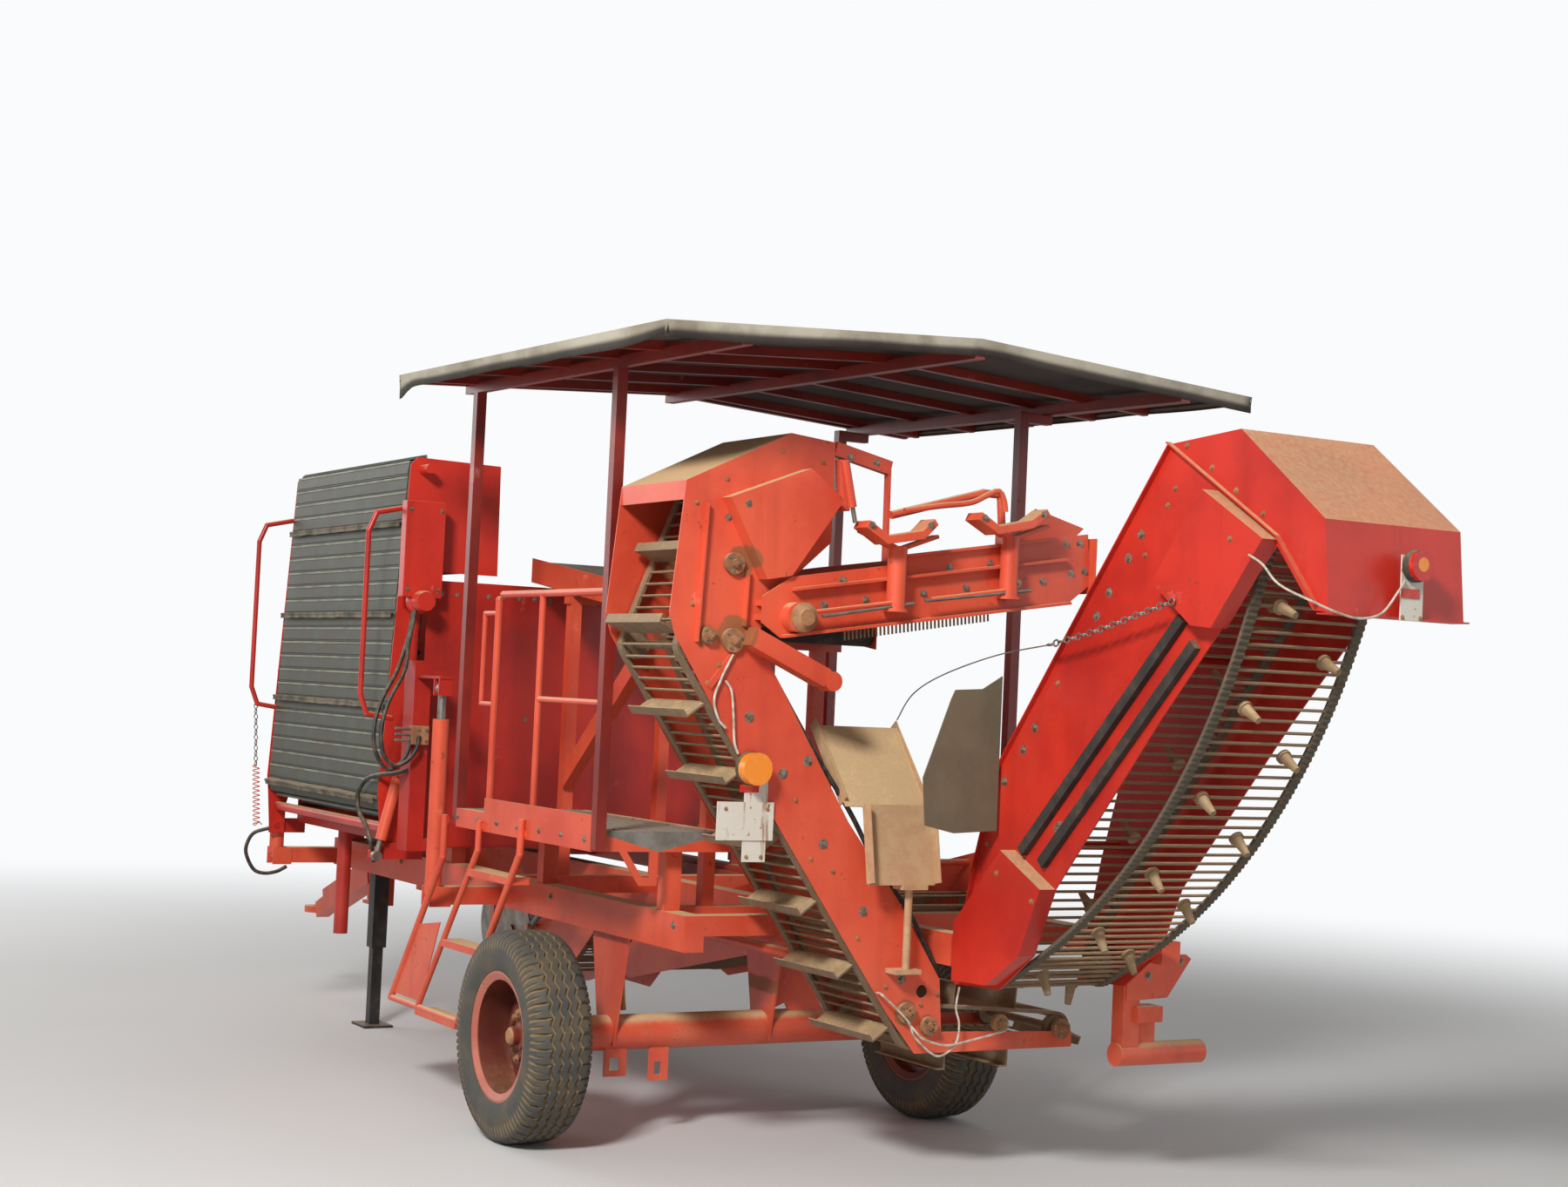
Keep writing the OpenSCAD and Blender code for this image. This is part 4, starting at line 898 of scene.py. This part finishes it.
def ring_belt(name, path, place, width, thick, finish, tooth=0.0):
    """A flat belt along the closed line, with teeth on its outer face if tooth is over 0."""
    mesh = bmesh.new()
    rings = []
    for k, (x, z, nx, nz) in enumerate(path):
        out = thick / 2 + (tooth if k % 2 else 0.0)
        ring = [(out, 0.0), (out, width), (-thick / 2, width), (-thick / 2, 0.0)]
        rings.append([mesh.verts.new(place(x + nx * a, z + nz * a, b)) for a, b in ring])
    for low, high in zip(rings, rings[1:] + rings[:1]):
        for k in range(4):
            j = (k + 1) % 4
            mesh.faces.new((low[k], low[j], high[j], high[k]))
    return finished(name, mesh, finish)


def haulm_web():
    """Rod web of the haulm elevator: rods, pegs, two toothed belts, and rollers at both ends."""
    upper, lower = (-3.22, 2.85), (-1.64, 0.975)
    guide = (-0.564, 3.475, 2.800)  # the wide curve that the web's lower run follows
    middle, edge = -0.28 - 0.34, -0.286
    path = belt_path([(*upper, 0.100), guide, (*lower, 0.090)], lambda r: 0.03 if r > 1 else 0.3)
    rods = web_spots(path, 0.054)
    base = spots([(here(x, middle, z), LEFT, 1.0) for x, z, _, _ in rods])
    sizes = {"Radius": 0.0065, "Length": 0.60}
    piece = grown("haulm_web_rods", BARS, base, "chassis", Finish=rod_steel, **sizes)
    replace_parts(piece, "haulm_web")
    pegs = []
    for k, (x, z, nx, nz) in enumerate(rods):
        if k % 8 in (3, 7):
            y = edge - (0.18 if k % 8 == 3 else 0.488)
            pegs.append((here(x + nx * 0.004, y, z + nz * 0.004), (nx, 0, nz), 1.0))
    grown("haulm_web_pegs", PEGS, spots(pegs), "chassis", Length=0.095, Finish=peg_rubber)
    teeth = web_spots(path, 0.0135)
    for word, y in (("left", -0.361), ("right", -0.924)):
        name = f"haulm_web_belt_{word}"
        place = lambda x, z, across: here(x, y + across, z)
        belt = ring_belt(name, teeth, place, 0.045, 0.012, web_belt, tooth=0.007)
        placed(name, belt, "chassis")
    ends = ((upper, 0.093), (lower, 0.083))
    for k, (centre, r) in enumerate(ends):
        rim = [(0.0, 0.03), (0.0, r - 0.012), (0.004, r)]
        rim += [(0.026, r), (0.030, r - 0.012), (0.030, 0.03)]
        for j, y in enumerate((-0.352, -0.922)):
            name = f"haulm_web_wheel_{2 * k + j}"
            turned(name, "chassis", rod_steel, "y", y, centre, rim, 28)
    shaft = [(0.0, 0.020), (0.668, 0.020)]
    for k, (centre, _) in enumerate(ends):
        turned(f"haulm_web_shaft_{k}", "chassis", rod_steel, "y", -0.954, centre, shaft, 20)


def slat_shape(name, *boxes):
    """Worn bars across the belt at every point, each [width, height, shift down it, lift]."""
    g = Shape(name)
    length = g.size("Length")
    bars = []
    for width, height, shift, lift in boxes:
        size = g.add("ShaderNodeCombineXYZ", (), [length, width, height])
        place = g.add("ShaderNodeCombineXYZ", (), [0.0, shift, lift])
        box = g.add("GeometryNodeMeshCube", (), {"Size": size, "Vertices X": 40})
        bars.append(g.moved(box, Translation=place))
    whole = g.add("GeometryNodeRealizeInstances", (), [g.on_points(g.joined(*bars))])
    spread = g.add("ShaderNodeTexNoise", (), {"Scale": 9.0, "Detail": 4.0}, out=1)
    centred = g.add("ShaderNodeVectorMath", {"operation": "SUBTRACT"}, [spread, (0.5, 0.5, 0.5)])
    values = {"Vector": centred, "Scale": g.size("Wear")}
    shift = g.add("ShaderNodeVectorMath", {"operation": "SCALE"}, values)
    return g.close(g.add("GeometryNodeSetPosition", (), {"Geometry": whole, "Offset": shift}))


def unloading_belt():
    """Rubber belt with lipped slats and worn cleats, in the place of the plain one. The lips'
    lighter grey is a painted highlight.
    """
    low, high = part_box("unload_belt")
    start, width = low[0] + MID, high[0] - low[0]
    middle, gap = start + width / 2, 0.012
    wheels = [(1.125, 1.450, 0.058), (1.045, 3.205, 0.058)]
    path = belt_path(wheels, lambda r: 0.25)
    place = lambda y, z, across: here(start + gap + across, y, z)
    ring = ring_belt("belt", web_spots(path, 0.02), place, width - 2 * gap, 0.008, slat_rubber)
    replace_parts(placed("unload_belt_ring", ring, "unload"), "unload_belt")
    points = []
    for y, z, ny, nz in web_spots(path, 0.087):
        points.append((here(middle, y + ny * 0.004, z + nz * 0.004), (0, ny, nz), 1.0))
    slats = slat_shape("belt_slats", (0.078, 0.009, 0.0, 0.0045), (0.058, 0.014, 0.0, 0.007))
    lips = slat_shape("belt_slat_lips", (0.011, 0.017, -0.033, 0.0085))
    boxes = (0.010, 0.040, -0.036, 0.020), (0.026, 0.007, -0.024, 0.034)
    cleats = slat_shape("belt_cleats", *boxes)
    for name, shape, where, less, wear, finish in (
        ("unload_belt_slats", slats, points, 0.036, 0.003, slat_rubber),
        ("unload_belt_lips", lips, points, 0.036, 0.003, painted_highlight_lip),
        ("unload_belt_cleats", cleats, points[2::6], 0.040, 0.016, worn_lip),
    ):
        grown(name, shape, spots(where), "unload", Length=width - less, Wear=wear, Finish=finish)
    drum = [(0.0, 0.018), (gap, 0.018), (gap, 0.049)]
    drum += [(width - gap, 0.049), (width - gap, 0.018), (width, 0.018)]
    for k, (y, z, _) in enumerate(wheels):
        turned(f"unload_belt_roller_{k}", "unload", rod_steel, "x", start, (y, z), drum, 24)


def elevator_bolts():
    """Bolts of the cross elevator's rear plate, with the nuts and screws of its bearings."""
    plate, cover_plate, bearing = -1.42, -1.50, -1.44
    large = [(0.803, 2.003), (0.627, 1.771), (0.414, 1.477)]
    large += [(0.197, 1.189), (0.508, 1.827), (-0.015, 0.897)]
    rear_bolts("elevator_bolts", "chassis", "cross_casing", plate, large, 0.012, 1.9)
    small = [(0.473, 1.414), (0.221, 1.076), (0.068, 0.864), (-0.206, 0.823), (-0.121, 0.781)]
    small += [(0.959, 2.214), (0.945, 2.167), (1.009, 2.139), (1.10, 2.88), (1.10, 2.46)]
    small += [(0.70, 3.13), (0.96, 2.99), (0.50, 3.10), (0.36, 1.36), (0.56, 1.66)]
    rear_bolts(
        "elevator_small_bolts", "chassis", "cross_casing", plate, small, 0.008, 1.3, hub_rust
    )
    cover = [(0.897, 2.888), (0.945, 2.831)]
    rear_bolts("chain_cover_bolts", "chassis", "cross_casing", cover_plate, cover, 0.009, 1.8)
    nuts = [(y, z) for y, z, _ in BEARINGS] + [(-0.055, 0.76), (-0.177, 0.686)]
    rear_bolts("bearing_nuts", "chassis", "cross_casing", bearing, nuts, 0.019, 1.25, hub_rust)
    screws = []
    for y, z, r in BEARINGS:
        for a in (0.8, 2.9, 5.0):
            screws.append((y + r * 0.72 * math.cos(a), z + r * 0.72 * math.sin(a)))
    rear_bolts("bearing_screws", "chassis", "cross_casing", bearing, screws, 0.006, 1.5)


def separator_bolts():
    """Bolts of the separator's rear flanges and of its arm."""
    rows = [(0.499, 2.491), (0.29, 2.523), (-0.004, 2.568), (-0.225, 2.606), (-0.132, 2.692)]
    rows += [(-0.45, 2.64), (-0.64, 2.66), (-0.764, 2.837), (-0.839, 2.844), (-0.796, 2.705)]
    rows += [(-0.871, 2.72), (0.41, 2.60), (0.12, 2.64), (-0.35, 2.72)]
    rear_bolts("separator_bolts", "chassis", "separator_frame", -1.53, rows, 0.011, 1.6)
    arm = [(0.502, 3.159), (0.363, 3.131), (0.229, 3.122)]
    rear_bolts("separator_arm_bolts", "chassis", "separator_frame", -1.60, arm, 0.010, 1.6)


def rear_wall_bolts():
    """Bolts of the bumper's guard plate and of the bunker's rear wall."""
    guard = [(y, z) for y in (0.18, 0.34) for z in (0.62, 0.70)]
    guard += [(-0.90, 0.80), (-1.30, 0.80), (-1.10, 0.93), (-1.06, 0.99), (-1.28, 0.99)]
    rear_bolts("bumper_bolts", "chassis", "main_frame", -1.77, guard, 0.012, 1.6)
    wall = [(-1.15 + 0.09 * k, z) for k in range(26) for z in (1.33, 2.55)]
    wall += [(y, 1.9) for y in (-0.8, -0.4, 0.0, 0.4)]
    rear_bolts("bunker_wall_bolts", "bunker", "bunker", 1.74, wall, 0.009, 1.5)


def haulm_bolts():
    """Bolts of the haulm elevator's two side plates."""
    left, right = -0.25, -1.00
    adjusters = [(-2.589, 2.806), (-2.514, 2.713), (-2.399, 2.577), (-2.323, 2.482)]
    adjusters += [(-1.935, 2.012), (-1.859, 1.916), (-1.732, 1.774)]
    plate = [(-2.79, 2.981), (-2.85, 3.145), (-3.003, 3.05), (-3.145, 2.955), (-2.747, 2.916)]
    plate += [(-2.619, 2.723), (-3.212, 2.763), (-1.628, 1.499), (-1.813, 1.389), (-2.068, 1.296)]
    plate += [(-2.083, 2.202), (-3.30, 2.86), (-3.45, 2.60), (-1.60, 1.25)]
    casing = "chassis", "haulm_casing"
    side_bolts("haulm_adjuster_bolts", *casing, LEFT, left, adjusters, 0.012, 1.7)
    side_bolts("haulm_plate_bolts", *casing, LEFT, left, plate, 0.009, 1.4, hub_rust)
    side_bolts("haulm_pivot_bolt", *casing, LEFT, left, [(-2.139, 1.601)], 0.024, 1.4)
    side_bolts("haulm_far_bolts", *casing, RIGHT, right, adjusters + plate, 0.011, 1.6)


def platform_bolts():
    """Bolts of the platform's left edge beam, and the screws of its planks."""
    edge = [(-0.6 + 0.24 * k, 1.43) for k in range(7)]
    side_bolts("platform_bolts", "chassis", "platform", LEFT, 1.18, edge, 0.010, 1.5)
    deck = [(-0.58 + 0.36 * k, y, 1.49) for k in range(5) for y in (0.54, 0.70, 0.84, 1.0)]
    bolts("plank_screws", "chassis", bolt_steel, UP, deck, 0.006, 1.5, "platform")


def bunker_bolts():
    """Bolts of the bunker's right wall."""
    wall = [(1.80 + 0.23 * k, z) for k in range(9) for z in (1.35, 2.57)]
    side_bolts("bunker_right_bolts", "bunker", "bunker", RIGHT, -1.17, wall, 0.009, 1.5)


def beam_bolts():
    """Bolts of the digging unit's side plates and of the frame's long beams."""
    channel = [(1.80, 1.00), (2.20, 0.98), (2.55, 0.80), (2.9, 0.60), (3.2, 0.50), (3.35, 0.54)]
    side_bolts("channel_bolts", "digger", "digging_frame", LEFT, -0.25, channel, 0.012, 1.6)
    side_bolts("channel_far_bolts", "digger", "digging_frame", RIGHT, -1.02, channel, 0.012, 1.6)
    beam = [(x, 1.06) for x in (-1.5, -1.1, -0.7, 0.6, 1.1, 1.6, 2.6, 3.6)]
    side_bolts("frame_left_bolts", "chassis", "main_frame", LEFT, 0.75, beam, 0.012, 1.5)
    side_bolts("frame_right_bolts", "chassis", "main_frame", RIGHT, -1.30, beam, 0.012, 1.5)


def lamps():
    """Screws of the two lamp plates, rubber rims of their lamps, and reflectors."""
    left = [(0.72, 1.42), (0.79, 1.42), (0.70, 1.62), (0.90, 1.62)]
    right = [(-0.70, 2.49), (-0.61, 2.49)]
    carrier = "chassis", "lamp_carriers"
    rear_bolts("left_plate_screws", *carrier, -1.42, left, 0.006, 1.5, hub_rust)
    rear_bolts("right_plate_screws", *carrier, -3.71, right, 0.006, 1.5, hub_rust)
    rim = [(0.0, 0.0695), (0.004, 0.0725), (0.0165, 0.0725)]
    turned("left_lamp_rim", "chassis", dark_rubber, "x", -1.424, (0.79, 1.79), rim)
    rim = [(0.0, 0.0555), (0.006, 0.060), (0.026, 0.060), (0.031, 0.056)]
    turned("right_lamp_rim", "chassis", dark_rubber, "x", -3.728, (-0.655, 2.68), rim)
    thick, bevel = 0.0045, 0.002
    outline = rectangle(-0.690, 2.562, -0.600, 2.596)
    plates("right_reflector", "chassis", lens, [(-3.7005, thick, outline)], bevel)
    outline = rectangle(0.745, 1.690, 0.835, 1.722)
    plates("left_reflector", "chassis", lens, [(-1.4105, thick, outline)], bevel)


def rear_cables():
    """Cables and a hose on the cross elevator and on the haulm elevator's hood."""
    loose = flat_x(-1.413, (0.90, 2.26), (0.95, 2.16), (0.98, 2.07), (0.955, 1.99), (0.92, 1.955))
    hose("bearing_cable_long", "chassis", cable_skin, 0.011, loose)
    loose = flat_x(-1.413, (0.93, 2.15), (0.90, 2.11), (0.885, 2.01), (0.875, 1.90), (0.855, 1.85))
    hose("bearing_cable_short", "chassis", cable_skin, 0.011, loose)
    loose = [(0.10, 0.83), (-0.03, 0.72), (-0.07, 0.65), (-0.17, 0.57)]
    loose += [(-0.23, 0.57), (-0.29, 0.62), (-0.30, 0.70), (-0.28, 0.77)]
    loose = [(-1.404, 0.11, 0.84)] + flat_x(-1.442, *loose) + [(-1.44, -0.295, 0.86)]
    hose("low_cable_front", "chassis", cable_skin, 0.010, loose)
    loose = [(-0.06, 0.68), (-0.11, 0.64), (-0.23, 0.61)]
    loose += [(-0.37, 0.63), (-0.48, 0.65), (-0.55, 0.67)]
    loose = [(-1.43, -0.04, 0.71)] + flat_x(-1.455, *loose) + [(-1.432, -0.555, 0.70)]
    hose("low_cable_rear", "chassis", cable_skin, 0.010, loose)
    edge = [(0.76, 2.29), (0.63, 2.1), (0.46, 1.86), (0.27, 1.61)]
    edge += [(0.12, 1.38), (-0.05, 1.19), (-0.2, 0.95)]
    hose("edge_hose", "chassis", hose_rubber, 0.022, flat_x(-1.378, *edge))
    loose = [(-0.61, 2.625), (-0.575, 2.58), (-0.5, 2.50), (-0.40, 2.475), (-0.30, 2.486)]
    behind = [(-3.68, -0.20, 2.52), (-3.60, -0.10, 2.58), (-3.45, -0.15, 2.66)]
    behind += [(-3.33, -0.19, 2.70)]
    hose("hood_cable", "chassis", cable_skin, 0.009, flat_x(-3.705, *loose) + behind)


def axle_hoses():
    """Two tan sleeves that rise from the axle, and the black hoses that come out of them."""
    sleeve = [(0.625, 0.578), (0.635, 0.65), (0.64, 0.76), (0.638, 0.86)]
    rise = [(0.60, 0.945), (0.52, 0.995), (0.40, 1.02), (0.27, 1.035)]
    for word, shift in (("left", 0.0), ("right", -0.036)):
        tan = flat_x(0.05, *[(y + shift, z) for y, z in sleeve])
        hose(f"tan_hose_{word}", "chassis", tan_hose, 0.027, tan)
        dark = flat_x(0.05 + shift, *[(y + shift * 0.6, z + shift * 0.5) for y, z in rise])
        ending = [(0.05, 0.115, 1.05 + shift * 0.6)]
        hose(f"axle_hose_{word}", "chassis", hose_rubber, 0.023, [tan[-1]] + dark + ending)


def motor_hoses():
    """Two hoses that loop from the bunker to the unloading belt's motor, and one below them."""
    bodies = "bunker", "unload"
    outer = [(1.70, 1.10, 2.462), (1.69, 1.112, 2.39), (1.64, 1.15, 2.28), (1.58, 1.22, 2.13)]
    outer += [(1.545, 1.31, 1.97), (1.525, 1.35, 1.82), (1.51, 1.335, 1.70), (1.50, 1.275, 1.625)]
    outer += [(1.485, 1.212, 1.655), (1.475, 1.172, 1.735), (1.468, 1.160, 1.80)]
    hose("motor_hose_outer", bodies, hose_rubber, 0.022, outer)
    inner = []
    for x, y, z in outer[:-1]:
        inner.append((x - 0.028, y - 0.03 * (z < 2.2), z + 0.02 * (z < 1.7)))
    hose("motor_hose_inner", bodies, hose_rubber, 0.022, inner + [(1.45, 1.13, 1.80)])
    low = [(1.515, 1.11, 1.64), (1.60, 1.19, 1.60), (1.74, 1.215, 1.585), (1.90, 1.235, 1.55)]
    low += [(1.99, 1.245, 1.47), (1.96, 1.245, 1.38), (1.86, 1.24, 1.31), (1.80, 1.235, 1.24)]
    low += [(1.795, 1.222, 1.18), (1.80, 1.208, 1.125)]
    hose("low_hose", "bunker", hose_rubber, 0.024, low)


def belt_drive():
    """Valve block with its pipes on the lift column, and the unloading belt's guard and motor."""
    block, guard, bevel = 1.455, 1.655, 0.004
    outline = rectangle(1.074, 1.755, 1.170, 1.852)
    plates("valve_block", "bunker", hub_rust, [(block, 0.045, outline)], bevel)
    pipes = []
    for z in (1.775, 1.805, 1.835):
        pipes.append([(1.478, 1.17, z), (1.478, 1.215, z), (1.482, 1.25, z + 0.002)])
    tubes("block_pipes", "bunker", bare_steel, 0.008, *pipes)
    rows = [(1.09, 1.775), (1.13, 1.832), (1.13, 1.775), (1.09, 1.832)]
    rear_bolts("valve_block_bolts", "bunker", None, block, rows, 0.008, 1.0)
    outline = rectangle(0.963, 2.520, 1.181, 3.027)
    plates("belt_drive_guard", "unload", red_deep, [(guard, 0.07, outline)], bevel)
    rows = [(0.985, 2.56), (1.155, 2.56), (0.985, 2.98), (1.155, 2.98)]
    rear_bolts("belt_guard_bolts", "unload", None, guard, rows, 0.008, 1.5)
    motor = [(0.0, 0.030), (0.0, 0.050), (0.02, 0.056)]
    motor += [(0.085, 0.056), (0.095, 0.066), (0.13, 0.066)]
    turned("belt_motor", "unload", red_deep, "x", 1.582, (1.075, 2.50), motor)


def front_hoop():
    """Chain and coil spring at the front hoop, and the hose that runs on below them."""
    links = [here(*p) for p in ((3.655, 1.292, 1.885), (3.665, 1.281, 1.76), (3.665, 1.270, 1.545))]
    sizes = {"Pitch": 0.030, "Wire": 0.0035, "Finish": bare_steel}
    grown("hoop_chain", CHAIN, lines(links), "unload", **sizes)
    coil, radius = [], 0.019
    for k in range(135):
        a = math.pi * k / 5
        x, y = 3.665 + radius * math.cos(a), 1.268 - 0.00026 * a + radius * math.sin(a)
        coil.append((x, y, 1.535 - 0.0042 * a))
    tail = [(3.66, 1.235, 1.20), (3.655, 1.215, 1.185)]
    tubes("hoop_spring", "unload", red_sun, 0.0032, coil + tail, step=0.008)
    low = [(3.665, 1.165, 1.165), (3.70, 1.25, 1.13), (3.714, 1.285, 1.05), (3.712, 1.275, 0.985)]
    low += [(3.70, 1.234, 0.915), (3.69, 1.175, 0.895), (3.69, 1.10, 0.905), (3.69, 1.04, 0.935)]
    hose("corner_hose", ("chassis", "bunker"), hose_rubber, 0.022, low)


def separator_trim():
    """The separator's adjusting rods, hub, belt fingers, trays, small cylinder and bent tube."""
    left = flat_x(-1.528, (0.544, 2.439), (0.32, 2.478), (0.09, 2.519))
    right = flat_x(-1.528, (0.032, 2.534), (-0.25, 2.573), (-0.526, 2.613))
    tubes("separator_rods", "chassis", bare_steel, 0.008, left, right)
    hub = [(0.0, 0.020), (0.0, 0.034), (0.012, 0.040)]
    hub += [(0.022, 0.062), (0.062, 0.064), (0.066, 0.05)]
    turned("separator_hub", "chassis", hub_rust, "x", -1.56, (0.633, 2.429), hub)
    fingers = []
    for k in range(38):
        y, z = 0.376 - k * 0.02, 2.381 + k * 0.00327
        tip = (-1.438, y - 0.002, z - 0.035)
        fingers.append([(-1.43, y, z + 0.07), (-1.435, y, z + 0.02), tip])
    tubes("separator_fingers", "chassis", peg_rubber, 0.0045, *fingers)
    tray, bevel = -1.615, 0.004
    left = [(0.400, 2.822), (0.287, 2.758), (0.100, 2.793), (0.035, 2.858)]
    left += [(0.056, 2.884), (0.113, 2.828), (0.282, 2.795), (0.382, 2.854)]
    right = [(-0.172, 2.898), (-0.283, 2.840), (-0.467, 2.880), (-0.557, 2.945)]
    right += [(-0.536, 2.972), (-0.457, 2.917), (-0.286, 2.878), (-0.190, 2.932)]
    shapes = [(tray, 0.11, outline) for outline in (left, right)]
    plates("separator_trays", "chassis", red_sun, shapes, bevel)
    nuts = [(0.372, 2.832), (0.075, 2.852), (-0.205, 2.905), (-0.52, 2.945)]
    rear_bolts("separator_tray_nuts", "chassis", None, tray, nuts, 0.011, 1.5)
    barrel = flat_x(-1.535, (0.472, 3.100), (0.425, 2.907))
    tubes("head_cylinder", "chassis", red_sun, 0.019, barrel)
    rod = flat_x(-1.535, (0.425, 2.910), (0.408, 2.842))
    tubes("head_cylinder_rod", "chassis", bare_steel, 0.010, rod)
    bent = [(0.171, 2.911), (0.0, 2.945), (-0.167, 2.973), (-0.25, 3.01)]
    bent += [(-0.314, 3.036), (-0.345, 3.0), (-0.356, 2.947)]
    tubes("separator_bent_tube", "chassis", red_sun, 0.013, flat_x(-1.55, *bent))


def haulm_trim():
    """Chain and pull wire beside the haulm elevator."""
    chain = flat_y(-0.19, (-2.14, 2.36), (-2.45, 2.42), (-2.9, 2.53))
    sizes = {"Pitch": 0.036, "Wire": 0.004, "Finish": bare_steel}
    grown("haulm_chain", CHAIN, lines([here(*p) for p in chain]), "chassis", **sizes)
    wire = [(-2.14, -0.19, 2.36), (-1.8, -0.16, 2.31), (-1.45, -0.13, 2.22), (-1.25, -0.11, 2.13)]
    tubes("haulm_wire", "chassis", bare_steel, 0.003, wire + [(-1.165, -0.088, 2.012)])


for fit in (
    wheels,
    canopy,
    haulm_web,
    unloading_belt,
    elevator_bolts,
    separator_bolts,
    rear_wall_bolts,
    haulm_bolts,
    platform_bolts,
    bunker_bolts,
    beam_bolts,
    lamps,
    rear_cables,
    axle_hoses,
    motor_hoses,
    belt_drive,
    front_hoop,
    separator_trim,
    haulm_trim,
):
    fit()


def studio():
    """Floor, pale background and three lamps."""
    reach, fade_from, fade_to = 90, 5.5, 15.0
    edge = [(-reach, -reach, 0), (reach, -reach, 0), (reach, reach, 0), (-reach, reach, 0)]
    mesh = bpy.data.meshes.new("floor")
    mesh.from_pydata(edge, [], [(0, 1, 2, 3)])
    floor = bpy.data.objects.new("floor", mesh)
    scene.collection.objects.link(floor)
    f = Finish("pale_floor")
    colour = f.mix(f.noise(0.8, 3), (0.66, 0.65, 0.63), (0.70, 0.69, 0.67))
    mesh.materials.append(f.wear(colour, 0.9))
    seen = f.add("ShaderNodeLightPath", out="Is Camera Ray")
    far = (f.x**2.0 + f.y**2.0) ** 0.5
    glow = f.add("ShaderNodeEmission", (), {"Color": SKY, "Strength": 1.0})
    lit = Value(f, f.shader.outputs[0])
    share = seen * far.between(fade_from, fade_to)
    blend = f.add("ShaderNodeMixShader", (), [share, lit, glow])
    output = next(n for n in f.tree.nodes if n.type == "OUTPUT_MATERIAL")
    f.tree.links.new(blend.socket, output.inputs[0])
    world = bpy.data.worlds.new("sky")
    scene.world = world
    world.use_nodes = True
    g = Graph()
    g.tree = world.node_tree
    g.tree.nodes.clear()
    rays = ("Is Camera Ray", "Is Glossy Ray", "Is Transmission Ray")
    camera, glossy, clear = (g.add("ShaderNodeLightPath", out=ray) for ray in rays)
    seen = camera.most((glossy * 0.6).most(clear))
    sky = g.add("ShaderNodeBackground", (), {"Color": SKY, "Strength": 0.28 + seen * 0.72})
    output = g.tree.nodes.new("ShaderNodeOutputWorld")
    g.tree.links.new(sky.socket, output.inputs[0])
    for name, place, aim, power, size in (
        ("key", (-8, 8.5, 8.5), (0, 0, 1.4), 1500, 2.0),
        ("fill", (-9, -8, 5), (0, 0, 1.5), 130, 8),
        ("front", (9, 4, 6), (0, 0, 1.2), 300, 7),
    ):
        data = bpy.data.lights.new(name, "AREA")
        data.energy, data.size = power, size
        lamp = bpy.data.objects.new(name, data)
        scene.collection.objects.link(lamp)
        lamp.location = place
        beam = Vector(aim) - Vector(place)
        lamp.rotation_euler = beam.to_track_quat("-Z", "Y").to_euler()


studio()
